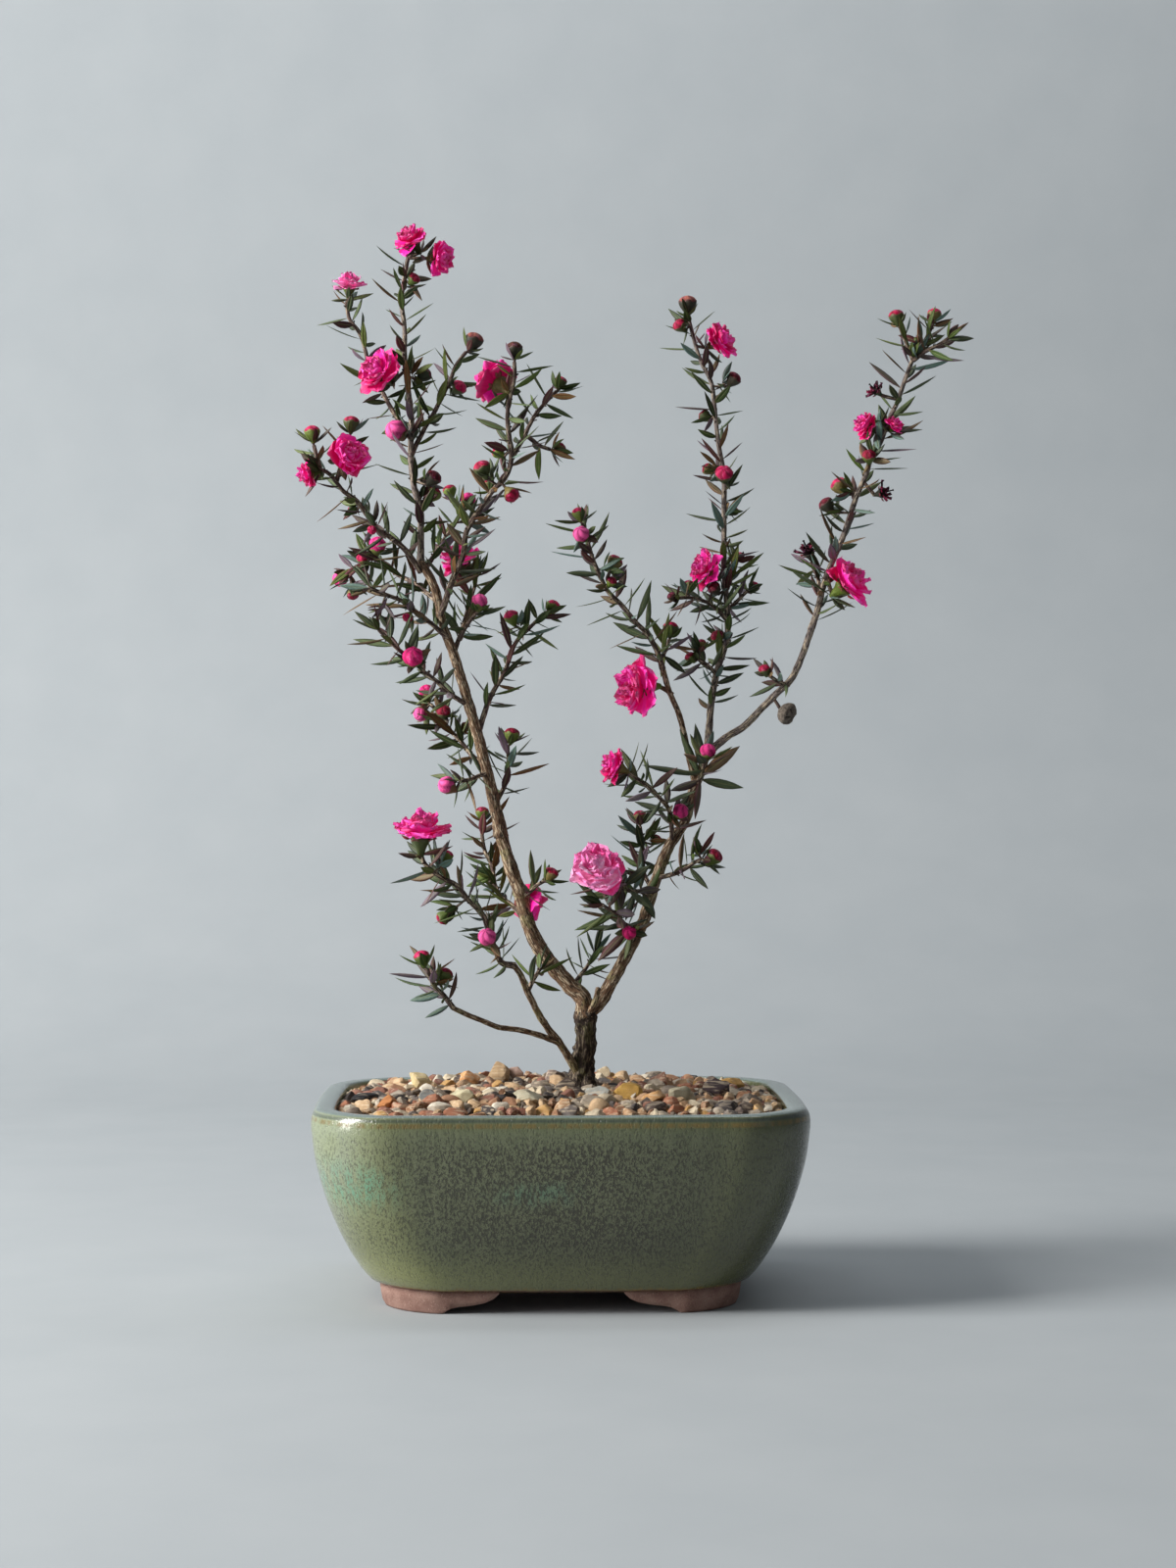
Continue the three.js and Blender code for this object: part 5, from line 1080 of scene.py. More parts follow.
crowd = Crowd(6000)
owners = {name: number for number, name in enumerate(["wood", *shoots])}
for stem in [*limbs.values(), *(stem for stems in shoots.values() for stem in stems),
             *(stem for stems in stalks.values() for stem in stems)]:
    pieces = max(1, round(stem.length / 6))
    for i in range(pieces):
        a, b = stem.length * i / pieces, stem.length * (i + 1) / pieces
        crowd.add(stem.point(a), stem.point(b), stem.radius(a), owners[stem.owner])
for flower in flowers:
    centre, axis, width = flower["centre"], flower["axis"], flower["width"]
    heart = centre + axis * (0.1 * width)
    for k in range(6):
        crowd.add(heart, heart + spoke(axis, k * math.pi / 3) * (0.3 * width), 0.2 * width, -1)
    flower["rod"] = crowd.count
    crowd.add(centre - axis * (0.4 * width), centre, 0.16 * width, -1)
for some in buds.values():
    for bud in some:
        bud["rod"] = crowd.count
        crowd.add(bud["foot"].lerp(bud["centre"], 0.6), bud["centre"], bud["width"] * 0.42, -1)
rods_before = crowd.count
print("rods before the leaves:", rods_before)

# %% [markdown]
# ## One leaf
# A tea tree's leaf is a stiff little lance, folded along its midrib, with a short stalk and a sharp tip
# that bends back a little. A flat card with a picture would vanish from the side, so each leaf is a thin
# closed blade, eight rows long, with five points across its face and three across its back. Its marks
# say how far across and along each point is and on which face, and the finish draws the pale midrib,
# the wine-coloured edge and the bluish underside from them.

# %% Leaf form
LEAF_ROWS = [(0.0, 0.12), (0.08, 0.26), (0.22, 0.72), (0.4, 0.98), (0.58, 0.97), (0.76, 0.72), (0.92, 0.28),
             (1.0, 0.02)]
LEAF_SECTION = [(-1, 0), (-0.5, 1), (0, 1), (0.5, 1), (1, 0), (0.5, -1), (0, -1), (-0.5, -1)]
LEAF_TINTS = paints((50, 70, 28), (66, 86, 32), (38, 54, 24), (84, 98, 38), (104, 72, 36), (88, 42, 46),
                    (66, 38, 42), (96, 124, 116), (118, 98, 114))
LEAF_WEIGHTS = [22, 18, 16, 10, 10, 7, 7, 9, 7]


def lance(shape, root, along, across, length, width, fold, bend, finish, tint, thick=0.13):
    face = across.cross(along)
    rows, marks = [], []
    for t, wide in LEAF_ROWS:
        spine = root + along * (length * t) - face * (bend * length * t * t)
        half = wide * width / 2
        row, notes = [], []
        for s, above in LEAF_SECTION:
            edge = across * (s * half) + face * (fold * abs(s) * half)
            row.append(spine + edge + face * (above * thick * wide))
            notes.append((s, t, above))
        rows.append(row)
        marks.append(notes)
    shape.grid(rows, finish, tint, marks, around=True, caps="first last")


def leaf_finish():
    leaf = Finish("tea_tree_leaf")
    tint, notes = leaf.written("tint", "Color"), leaf.written("marks")
    across, along, above = notes.part("X"), notes.part("Y"), notes.part("Z")
    place = leaf.place()
    mottle, broad = leaf.clouds(place, 0.9, 3.0), leaf.clouds(place, 0.06, 2.0)
    fine = leaf.clouds(place, 7.0, 2.0)
    edge = across.size()
    rib = edge.falls(0.05, 0.22)
    veins = (along * 46 - edge * 9).wave()
    colour = leaf.coats(
        tint,
        (mottle.rises(0.35, 0.7) * 0.5, leaf.times(tint, (1.5, 1.35, 1.3))),
        (edge.rises(0.6, 1.0) * broad.rises(0.4, 0.6) * 0.7, (86, 30, 44)),
        ((0 - above).rises(0.1, 0.9) * 0.3, (104, 112, 100)),
        (rib * 0.4, (126, 130, 84)),
        ((1 - along).rises(0.8, 1.0) * 0.5, (120, 84, 66)),
    )
    relief = rib * -1.0 + veins * 0.10 + fine * 0.35
    return leaf.close(colour, 0.42 + fine * 0.16 + mottle * 0.08, relief, 0.1, {"Specular IOR Level": 0.32})


tea_leaf = leaf_finish()
print("leaf rows:", len(LEAF_ROWS))

# %% [markdown]
# ## One bud
# A bud is a little urn: a green calyx that swells from its stalk, five pointed sepals round its mouth,
# and the folded petals domed above them. Turning one profile would make it as smooth as a bead, so the
# mouth is scalloped into sepals and the dome is creased along turning lines, as furled petals are.

# %% Bud form
BUD_FORMS = {
    "green": [(-0.64, 0.10), (-0.56, 0.14), (-0.44, 0.22), (-0.3, 0.32), (-0.15, 0.42), (0.0, 0.48), (0.1, 0.492),
              (0.12, 0.475), (0.15, 0.47), (0.22, 0.445), (0.3, 0.38), (0.37, 0.28), (0.42, 0.15), (0.435, 0.01)],
    "pink": [(-0.62, 0.10), (-0.54, 0.15), (-0.42, 0.27), (-0.3, 0.38), (-0.2, 0.44), (-0.17, 0.43),
             (-0.1, 0.46), (0.04, 0.5), (0.18, 0.49), (0.3, 0.43), (0.4, 0.33), (0.47, 0.21), (0.51, 0.1),
             (0.52, 0.01)],
}
MOUTHS = {"green": 7, "pink": 5}
CUP_TINTS = {"green": paints((104, 122, 44), (84, 100, 40), (118, 104, 56), (70, 80, 40)),
             "pink": paints((98, 104, 48), (120, 84, 58)),
             "dark": paints((50, 48, 34), (64, 56, 40), (50, 64, 38))}
TOP_TINTS = {"green": paints((176, 12, 66), (148, 10, 50), (206, 24, 90)),
             "pink": paints((242, 60, 148), (232, 30, 124), (248, 96, 170)),
             "dark": paints((92, 16, 34), (112, 20, 42), (88, 48, 34), (170, 100, 84))}
TWIG, LEAF, CUP, PETAL = 0, 1, 2, 3


def turned(centre, axis, size, form, sides, change):
    """Rings of points round an axis. The change gives each point's rise, radius and marks, in sizes."""
    turns = [2 * math.pi * k / sides for k in range(sides)]
    ways = [spoke(axis, turn) for turn in turns]
    rows, marks = [], []
    for number, (height, radius) in enumerate(form):
        made = [change(number, height, radius, turn) for turn in turns]
        rows.append([centre + axis * (rise * size) + way * (out * size) for way, (rise, out, _) in zip(ways, made)])
        marks.append([note for _, _, note in made])
    return rows, marks


def grow_bud(shape, bud, chance):
    kind, width = bud["kind"], bud["width"]
    form = BUD_FORMS.get(kind, BUD_FORMS["green"])
    mouth = MOUTHS.get(kind, MOUTHS["green"])
    away = (bud["centre"] - bud["foot"]).normalized()
    axis = (away + UP * (0.9 if away.z > -0.3 else 0.0)).normalized()
    cup_tint, top_tint = chance.choice(CUP_TINTS[kind]), chance.choice(TOP_TINTS[kind])
    stalk = Stem("bud", [bud["foot"], bud["centre"] - axis * (0.58 * width)], 0.35, 0.1 * width)
    if stalk.length > 0.4:
        tube(shape, stalk, 8, 0.8, TWIG, TWIG_TINT)
    phase = chance.random() * 6.28

    def sepals_and_creases(number, height, radius, turn):
        lobes = math.cos(5 * turn + phase) if number in (mouth - 1, mouth) else 0.0
        crease = abs(math.sin(2.5 * turn + phase + height * 4))
        out = (radius + 0.012 * lobes) * (0.86 + 0.17 * crease if number > mouth + 1 else 1.0)
        mark = crease if number > mouth else math.sin(5 * turn + phase)
        return height + 0.055 * lobes, out, (mark, height, 0)

    rows, marks = turned(bud["centre"], axis, width, form, 30, sepals_and_creases)
    shape.grid(rows[:mouth + 1], CUP, cup_tint, marks[:mouth + 1], around=True, caps="first")
    shape.grid(rows[mouth:], PETAL, top_tint, marks[mouth:], around=True, caps="last")


print("bud forms:", list(BUD_FORMS))

# %% [markdown]
# ## Cups and petals
# A cup is green with a flush of wine towards its mouth. A petal darkens to its claw, pales to its edge and
# has fine veins. A furled bud gets painted shade in its creases and a painted highlight on its ridges, and a
# dried petal a darker middle line. An open petal also lets some light through.
# A shader that passes light would be the true way, but each finish stays one plain surface here, so fresh
# petals glow a little in their own colour instead.

# %% Finishes of cups and petals
def cup_finish():
    cup = Finish("bud_cup")
    tint, notes = cup.written("tint", "Color"), cup.written("marks")
    rib, height = notes.part("X"), notes.part("Y")
    mottle, hairs = cup.clouds(cup.place(), 1.3, 3.0), cup.clouds(cup.place(), 9.0, 1.0)
    colour = cup.coats(
        tint,
        (mottle.rises(0.4, 0.65) * 0.6, cup.times(tint, (0.6, 0.6, 0.55))),
        ((height + mottle * 0.25).rises(0.12, 0.36) * 0.75, (142, 46, 62)),
    )
    relief = rib * 0.4 + hairs * 0.4 + mottle
    return cup.close(colour, 0.45 + hairs * 0.2, relief, 0.12, {"Specular IOR Level": 0.45})


def petal_finish(name, veined, rough, glow=0.1):
    petal = Finish(name)
    tint, notes = petal.written("tint", "Color"), petal.written("marks")
    across, along = notes.part("X"), notes.part("Y")
    place = petal.place()
    mottle, crepe = petal.clouds(place, 0.7, 3.0), petal.clouds(place, 4.5, 3.0)
    veins = (across * 16 + mottle * 3).wave()
    lighter = petal.blend(0.35, tint, (1.0, 0.34, 0.74))
    colour = petal.coats(
        tint,
        (mottle.rises(0.35, 0.7) * 0.35, petal.times(tint, (0.7, 0.5, 0.6))),
        (along.rises(0.6, 1.0) * (0.6 if veined else 0.15), lighter),
        ((1 - along).rises(0.5, 1.0) * 0.35, petal.times(tint, (0.6, 0.4, 0.4))),
        (veins.rises(0.5, 1.0) * 0.2, petal.times(tint, (0.6, 0.3, 0.45))),
    )
    if not veined:
        # on a furled bud: painted shade in the valleys between its petals and a painted highlight in spots on their
        # ridges; on a dried petal: a darker middle line and pale spots towards its edges
        crease = (1 - across.size()).rises(0.2, 0.85)
        ridge_highlight_and_pale_spots = mottle.rises(0.5, 0.7) * across.size()
        colour = petal.coats(colour, (crease * 0.85, petal.times(tint, (0.35, 0.2, 0.3))), (ridge_highlight_and_pale_spots * 0.6, lighter))
    constants = {"Specular IOR Level": 0.22, "Emission Color": colour, "Emission Strength": glow}
    return petal.close(colour, rough + crepe * 0.2, veins * 0.3 + crepe, 0.12, constants)


bud_cup, bud_top = cup_finish(), petal_finish("furled_petals", False, 0.4, 0.0)
shoot_finishes = [young_bark, tea_leaf, bud_cup, bud_top]
print("finishes of a shoot:", [finish.name for finish in shoot_finishes])

# %% [markdown]
# ## The shoots
# Leaves stand singly in a spiral, one for about every 1 to 1.6 mm of stem and closest low down, at 48 to 80
# degrees to it. More of them crowd its tip, its buds and the necks of its flowers. A particle system could
# strew them, but it could not keep them clear of buds, and its instances would be lost in the export. So
# they are placed one by one with a seeded chance.

# %% A leaf finds its place
GOLDEN = math.radians(137.5)
SCAR_TINT = paint(58, 42, 36)
LEAF_LENGTH, LEAF_WIDTH = 10.6, 2.0
LEAF_KINDS = {
    # length, slimness, lean from the stem in degrees
    "spiral": (1.0, 1.0, (48, 80)),
    "tuft": (0.72, 0.85, (20, 46)),
    "bract": (0.62, 0.95, (38, 74)),
    "ruff": (0.75, 1.0, (50, 95)),
}
LEAF_BANDS = [(175, 0.96, 1.12), (238, 1.2, 1.08), (400, 1.6, 1.06)]  # up to this height: spacing, size
LEAF_TURNS = (0, 0.7, -0.7, 1.4, -1.4, 2.2, -2.2, 3.0)
LOWEST_TIP, FURTHEST_TIP, LEAF_ROOM = 67, 54, 0.24
SCALES = {"shoot_large_leaves": 1.35, "shoot_low_whorl": 1.15, "shoot_low_big_bloom": 1.15}
TUFT_LEAVES, BRACTS, RUFF_LEAVES = 6, 5, 6
ANY_TURN = (0, 6.28)
leaf_chance = random.Random(5)


def leaf_band(z):
    return next(band[1:] for band in LEAF_BANDS if z < band[0])


def try_leaf(shape, owner, root, way, turn, kind, scale, ignore=-2):
    """Grows a leaf from a point of a stem, at the first of a few turns that is clear."""
    size, slim, leans = LEAF_KINDS[kind]
    scale *= leaf_band(root.z)[1]
    length = LEAF_LENGTH * scale * size * leaf_chance.uniform(0.62, 1.22)
    width = LEAF_WIDTH * scale * slim * leaf_chance.uniform(0.75, 1.25)
    lean = math.radians(leaf_chance.uniform(*leans))
    fold, bend = leaf_chance.uniform(0.1, 0.45), leaf_chance.uniform(-0.08, 0.16)
    roll, tint = leaf_chance.uniform(-0.9, 0.9), leaf_chance.choices(LEAF_TINTS, LEAF_WEIGHTS)[0]
    shade = leaf_chance.uniform(0.75, 1.2)
    for extra in LEAF_TURNS:
        out = spoke(way, turn + extra)
        along = out * math.sin(lean) + way * math.cos(lean)
        tip = root + along * length
        inside = tip.z > LOWEST_TIP and abs(tip.y) < FURTHEST_TIP
        if inside and crowd.clear(root + along, tip, owner, LEAF_ROOM, ignore):
            across = (way.cross(out) + way.cross(out).cross(along) * roll).normalized()
            colour = tuple(value * shade for value in tint)
            lance(shape, root, along, across, length, width, fold, bend, LEAF, colour)
            crowd.add(root.lerp(tip, 0.3), tip, 0.3, -1)
            return


def leaf_scar(shape, stem, distance, turn):
    """The knob that a fallen leaf leaves on its stem."""
    way = stem.along(distance)
    out = spoke(way, turn)
    root = stem.point(distance) + out * (stem.radius(distance) * 0.7)
    knob = Stem(stem.owner, [root, root + (out * 0.9 + way * 0.5) * 0.75], 0.32, 0.2)
    tube(shape, knob, 6, 0.4, TWIG, SCAR_TINT)


print("kinds of leaf:", list(LEAF_KINDS))

# %% Grow the shoots
for name, stems in shoots.items():
    shape, owner, scale = Shape(), owners[name], SCALES.get(name, 1.0)
    for stem in stems:
        tint = SILVER_TINT if name in SILVER and stem is stems[0] else TWIG_TINT
        tube(shape, stem, 10, 1.2, TWIG, tint, 0.16, limb_swell, True)
    for stalk in stalks[name]:
        tube(shape, stalk, 8, 1.5, TWIG, TWIG_TINT, 0.1, close_start=True)
    for bud in buds[name]:
        grow_bud(shape, bud, leaf_chance)
    for stem in stems:
        turn, distance = leaf_chance.uniform(*ANY_TURN), max(stem.bare, 1.5)
        while distance < stem.length - 1.5:
            try_leaf(shape, owner, stem.point(distance), stem.along(distance), turn, "spiral", scale)
            if leaf_chance.random() < 0.4:
                leaf_scar(shape, stem, distance + 0.8, turn + 2.4)
            turn += GOLDEN
            distance += leaf_band(stem.point(distance).z)[0] * leaf_chance.uniform(0.7, 1.3)
        end = stem.length - 0.4
        for _ in range(TUFT_LEAVES):
            try_leaf(shape, owner, stem.point(end), stem.along(end), turn, "tuft", scale)
            turn += GOLDEN
    for bud in buds[name]:
        way = (bud["centre"] - bud["foot"]).normalized()
        reach = (bud["centre"] - bud["foot"]).length - 0.55 * bud["width"]
        turn = leaf_chance.uniform(*ANY_TURN)
        for _ in range(BRACTS + (1 if reach > 2 else 0)):
            root = bud["foot"] + way * max(0.3, reach * leaf_chance.uniform(0.35, 0.95))
            try_leaf(shape, owner, root, way, turn, "bract", scale, bud["rod"])
            turn += GOLDEN
    for flower in (one for one in flowers if one["carrier"] == name and one["kind"] != "spent"):
        root = flower["centre"] - flower["axis"] * (NECK * flower["width"])
        turn = leaf_chance.uniform(*ANY_TURN)
        for _ in range(RUFF_LEAVES):
            try_leaf(shape, owner, root, flower["axis"], turn, "ruff", scale, flower["rod"])
            turn += GOLDEN
    make_piece(shape, name.replace("shoot", "leafy_stem"), shoot_finishes, "foliage", name)
print("leaves:", crowd.count - rods_before)

# %% [markdown]
# ## Double flowers
# These flowers have many more petals than a wild tea tree's five: a flat outer ring, then ring after ring
# that stands steeper, shorter and more crumpled, down to a tuft in the middle. Each petal is its own
# small sheet, cupped, narrowed to a claw at its foot and ruffled along its edge. One petal copied round
# would be quicker, but it would look stamped out, so every petal gets a seeded length, width and twist of its
# own. A green cup with five sepals holds them.

# %% Petals and their rings
PETAL_ROWS = [(0.0, 0.2), (0.2, 0.5), (0.42, 0.86), (0.62, 1.0), (0.8, 0.95), (0.93, 0.70), (1.0, 0.34)]
FLOWER_RINGS = [
    # petals, lean at foot and tip, length, width, foot's radius and height
    (5, 0.0, 0.25, 0.45, 0.56, 0.07, -0.11),
    (6, 0.30, 0.62, 0.43, 0.46, 0.07, -0.08),
    (7, 0.62, 0.98, 0.40, 0.38, 0.06, -0.06),
    (6, 0.92, 1.28, 0.37, 0.31, 0.05, -0.05),
    (5, 1.15, 1.50, 0.33, 0.24, 0.04, -0.03),
    (4, 1.35, 1.75, 0.28, 0.18, 0.02, 0.0),
]
SPENT_RINGS = [(5, 0.1, 0.9, 0.40, 0.24, 0.09, -0.08), (5, 0.7, 1.5, 0.26, 0.15, 0.08, -0.06)]
PETAL_POINTS = (-1, -0.72, -0.42, -0.14, 0.14, 0.42, 0.72, 1)
CRIMSONS = paints((240, 10, 146), (222, 4, 110), (248, 44, 172), (202, 2, 90))
PALES = paints((248, 116, 184), (250, 150, 204), (240, 60, 146), (252, 188, 222))
DRIED = paints((112, 10, 40), (78, 8, 28), (150, 16, 62), (54, 14, 20))


def grow_petal(shape, flower, turn, ring, ruffle, tint, chance):
    _, lean0, lean1, length, wide, radius, height = ring
    size, axis = flower["width"], flower["axis"]
    out = spoke(axis, turn)
    round_way = axis.cross(out)
    length *= size * chance.uniform(0.7, 1.1)
    wide *= size * chance.uniform(0.8, 1.15)
    waves, phase, skew = chance.uniform(1.2, 2.8), chance.uniform(*ANY_TURN), chance.uniform(-0.4, 0.4)
    lift = chance.uniform(-0.34, 0.34)
    spot = flower["centre"] + out * (radius * size) + axis * (height * size)
    rows, marks, previous = [], [], 0.0
    for t, share in PETAL_ROWS:
        lean = lean0 + lift + (lean1 - lean0) * t
        forward = out * math.cos(lean) + axis * math.sin(lean)
        normal = axis * math.cos(lean) - out * math.sin(lean)
        spot = spot + forward * (length * (t - previous))
        previous = t
        row, notes = [], []
        for s in PETAL_POINTS:
            reach = s * share * wide / 2 + skew * wide * 0.3 * t
            curl = 0.32 * s * s * share * wide / 2
            wave = ruffle * size * t * t * math.sin(waves * math.pi * s + phase)
            edge = length * (-0.22 * s * s * t + (0.03 * math.sin(9 * s + phase) if t > 0.95 else 0))
            row.append(spot + round_way * reach + normal * (curl + wave) + forward * edge)
            notes.append((s, t, lean0))
        rows.append(row)
        marks.append(notes)
    shape.grid(rows, PETAL, tint, marks)


print("petals in a flower:", sum(ring[0] for ring in FLOWER_RINGS))

# %% Cup and dried heart
CUP_FORM = [(-0.42, 0.04), (-0.38, 0.055), (-0.31, 0.075), (-0.24, 0.105), (-0.17, 0.15), (-0.12, 0.175),
            (-0.1, 0.165), (-0.11, 0.02)]
HEART_FORM = [(-0.09, 0.17), (-0.02, 0.18), (0.03, 0.13), (0.04, 0.03), (0.28, 0.022), (0.31, 0.04), (0.33, 0.01)]


def grow_cup(shape, flower, tint):
    """A small green cup under the petals, with five sepals round its mouth."""
    size, axis, centre = flower["width"], flower["axis"], flower["centre"]

    def ribs(number, height, radius, turn):
        return height, radius, (math.sin(5 * turn), height, 0)

    rows, marks = turned(centre, axis, size, CUP_FORM, 20, ribs)
    shape.grid(rows, CUP, tint, marks, around=True, caps="first last")
    for k in range(5):
        out = spoke(axis, (k + 0.5) * 2 * math.pi / 5)
        root = centre + axis * (-0.135 * size) + out * (0.155 * size)
        along = (out * 0.85 + axis * 0.25).normalized()
        lance(shape, root, along, axis.cross(out), 0.16 * size, 0.15 * size, 0.3, 0.1, CUP, tint)


def grow_dark_heart(shape, flower):
    """The dark disc of a spent flower, with the dry style that stands up from it."""

    def plain(number, height, radius, turn):
        return height, radius, (0, 0, 0)

    rows, _ = turned(flower["centre"], flower["axis"], flower["width"], HEART_FORM, 16, plain)
    shape.grid(rows, PETAL, paint(40, 16, 20), around=True, caps="first last")


print("rings of a cup:", len(CUP_FORM), "and of a dried heart:", len(HEART_FORM))

# %% Grow the flowers
def grow_flower(shape, flower, chance):
    spent = flower["kind"] == "spent"
    tints = {"spent": DRIED, "pale": PALES}.get(flower["kind"], CRIMSONS)
    extra_petals = 2 if flower["width"] > 18 else 0
    for number, ring in enumerate(SPENT_RINGS if spent else FLOWER_RINGS):
        start, petals = chance.uniform(*ANY_TURN), ring[0] + extra_petals
        shade, ruffle = 1 - 0.05 * number, (0.06 if spent else 0.027) * (1 + 0.15 * number)
        for k in range(petals):
            turn = start + 2 * math.pi * k / petals + chance.uniform(-0.25, 0.25)
            tint = tuple(value * shade for value in chance.choice(tints))
            grow_petal(shape, flower, turn, ring, ruffle, tint, chance)
    if spent:
        grow_dark_heart(shape, flower)
    grow_cup(shape, flower, chance.choice(CUP_TINTS["dark" if spent else "green"]))


PETAL_FINISHES = {
    "crimson": (petal_finish("crimson_petal", True, 0.5, 0.16), "petals"),
    "pale": (petal_finish("pale_petal", True, 0.5), "pale_petals"),
    "spent": (petal_finish("dried_petal", False, 0.65, 0.0), "dry_petals"),
}
petal_chance = random.Random(23)
fresh_and_dry = [flower for flower in flowers if flower["kind"] in PETAL_FINISHES]
for flower in fresh_and_dry:
    shape = Shape()
    grow_flower(shape, flower, petal_chance)
    finish, slot = PETAL_FINISHES[flower["kind"]]
    name = flower["name"].replace("bloom", "double_flower").replace("spent_flower", "dried_flower")
    make_piece(shape, name, [young_bark, tea_leaf, bud_cup, finish], slot, flower["name"])
print("flowers:", len(fresh_and_dry))

# %% [markdown]
# ## The seed capsule
# Last year's seed capsule is a grey woody cup whose lid has split into five valves. It could be sculpted by
# hand, but the same turned rings as for the buds serve here too: a sum gives the cup its ribs and sinks the
# lid along five lines between raised points, so that all five valves come out alike.

# %% Capsule
def capsule_finish():
    woody = Finish("dry_capsule")
    notes, place = woody.written("marks"), woody.place()
    grain, pits = woody.clouds(place, 1.4, 4.0), woody.clouds(place, 6.0, 2.0)
    colour = woody.coats(
        woody.blend(grain.rises(0.35, 0.65), *paints((86, 78, 72), (132, 122, 110))),
        (notes.part("Z"), (34, 28, 26)),
        (pits.rises(0.6, 0.7) * 0.6, (48, 42, 38)),
    )
    return woody.close(colour, 0.8 + pits * 0.15, grain + pits * 0.5, 0.25, {"Specular IOR Level": 0.25})


CAPSULE_FORM = [(-0.5, 0.08), (-0.46, 0.16), (-0.36, 0.32), (-0.22, 0.43), (-0.06, 0.49), (0.06, 0.5),
                (0.12, 0.46), (0.13, 0.42), (0.15, 0.36), (0.2, 0.24), (0.22, 0.12), (0.2, 0.02)]
LID_START = 8


def ribs_and_valves(number, height, radius, turn):
    if number < LID_START:
        return height, radius * (1 + 0.05 * math.cos(5 * turn)), (turn, height, 0.0)
    valve = abs(math.cos(2.5 * turn))
    return height + 0.16 * (valve - 0.6) * (radius / 0.36), radius, (turn, height, (1 - valve) ** 2)


capsule = Shape()
for flower in (one for one in flowers if one["kind"] == "capsule"):
    rows, marks = turned(flower["centre"], flower["axis"], flower["width"], CAPSULE_FORM, 40, ribs_and_valves)
    capsule.grid(rows, marks=marks, around=True, caps="first last")
make_piece(capsule, "open_seed_capsule", [capsule_finish()], "dry_capsule", "seed_capsule")
print("capsule:", triangle_counts["open_seed_capsule"], "triangles")

# %% [markdown]
# ## Pebbles
# The pot is topped with river pebbles, rounded and broken ones from 3 to 10 mm. Each stone starts as
# a ball that is cut back by a few random planes, which leaves soft facets, and is then stretched and
# turned. Large stones start from a finer ball than small ones. They are strewn in two sizes over a bed of
# grit that fills the gaps, with a row along the wall, and eighteen striking ones are placed one by one.

# %% One pebble
def ball_points(fineness):
    work = bmesh.new()
    bmesh.ops.create_icosphere(work, subdivisions=fineness, radius=1.0)
    points = [vert.co.copy() for vert in work.verts]
    faces = [[vert.index for vert in face.verts] for face in work.faces]
    work.free()
    return numpy.array(points), faces


SMALL_BALL, LARGE_BALL = ball_points(2), ball_points(3)
STONE_TINTS = paints((178, 142, 108), (198, 168, 132), (152, 112, 84), (206, 192, 166), (168, 156, 140),
                     (128, 116, 104), (104, 96, 92), (158, 104, 78), (190, 148, 90), (84, 72, 66),
                     (216, 208, 192), (142, 96, 80), (64, 58, 58))
STONE_WEIGHTS = [12, 12, 10, 10, 11, 9, 6, 7, 5, 5, 8, 7, 4]


def pebble(shape, centre, radius, chance, tint, facets=0, squash=(0.72, 1.05)):
    """A ball cut back by planes, stretched and turned. More cuts make a more broken stone."""
    facets = facets or chance.choice((7, 11, 15, 18))
    normals = numpy.array([[chance.gauss(0, 1) for _ in range(3)] for _ in range(facets)])
    normals /= numpy.linalg.norm(normals, axis=1)[:, None]
    reach = numpy.array([chance.uniform(0.46, 0.84) for _ in range(facets)])
    ball, ball_faces = LARGE_BALL if radius > 2.8 else SMALL_BALL
    facing = numpy.maximum(ball @ normals.T, 1e-3)
    points = ball * numpy.minimum(1.0, (reach / facing).min(axis=1))[:, None]
    stretch = numpy.array([1.28, chance.uniform(0.75, 1.15), chance.uniform(*squash) * 1.15]) * radius
    turn = Matrix.Rotation(chance.uniform(*ANY_TURN), 3, "Z") @ Matrix.Rotation(chance.uniform(-0.7, 0.7), 3, "X")
    points = (points * stretch) @ numpy.array(turn).T + numpy.array(centre)
    mark = (chance.random(), chance.random(), chance.random())
    shape.add(points.tolist(), ball_faces, 0, tint, [mark] * len(points))


def pebble_finish():
    stone = Finish("river_pebbles")
    tint, notes, place = stone.written("tint", "Color"), stone.written("marks"), stone.place()
    shifted = stone.vector("ADD", {0: place, 1: stone.vector("SCALE", {0: notes, "Scale": 40.0})})
    cloud, grain = stone.clouds(shifted, 0.45, 4.0), stone.clouds(place, 5.0, 3.0)
    bands = stone.clouds(stone.stretched(shifted, (0.2, 0.9, 1.6)), 0.9, 2.0)
    colour = stone.coats(
        tint,
        (cloud.rises(0.35, 0.65) * 0.55, stone.times(tint, (0.62, 0.56, 0.5))),
        (bands.rises(0.5, 0.62) * notes.part("X") * 0.6, (214, 196, 168)),
        (grain.rises(0.60, 0.70) * 0.55, (72, 58, 50)),
    )
    roughness, relief = 0.5 + grain * 0.35 + cloud * 0.1, grain + cloud * 1.5
    return stone.close(colour, roughness, relief, 0.25, {"Specular IOR Level": 0.35})


river_pebbles = pebble_finish()
print("points in a pebble:", len(SMALL_BALL[0]), "or", len(LARGE_BALL[0]))

# %% Where pebbles lie
INSIDE = (POT_LENGTH / 2 - WALL, POT_DEPTH / 2 - WALL, INSIDE_CORNER)
TRUNK_FOOT, TRUNK_ROOM = (7.1, 6.0), 4.6
GRAVEL_TOP, GRAVEL_FALL, BED_DEPTH = 62.4, 4.4, 2.2
JITTER = (-0.32, 0.32)


def gravel_level(x, y):
    deep = (0.3 if y > 0 else 1.0) * abs(y / INSIDE[1]) ** 3
    return GRAVEL_TOP - GRAVEL_FALL * min(1.0, abs(x / INSIDE[0]) ** 3 + deep)


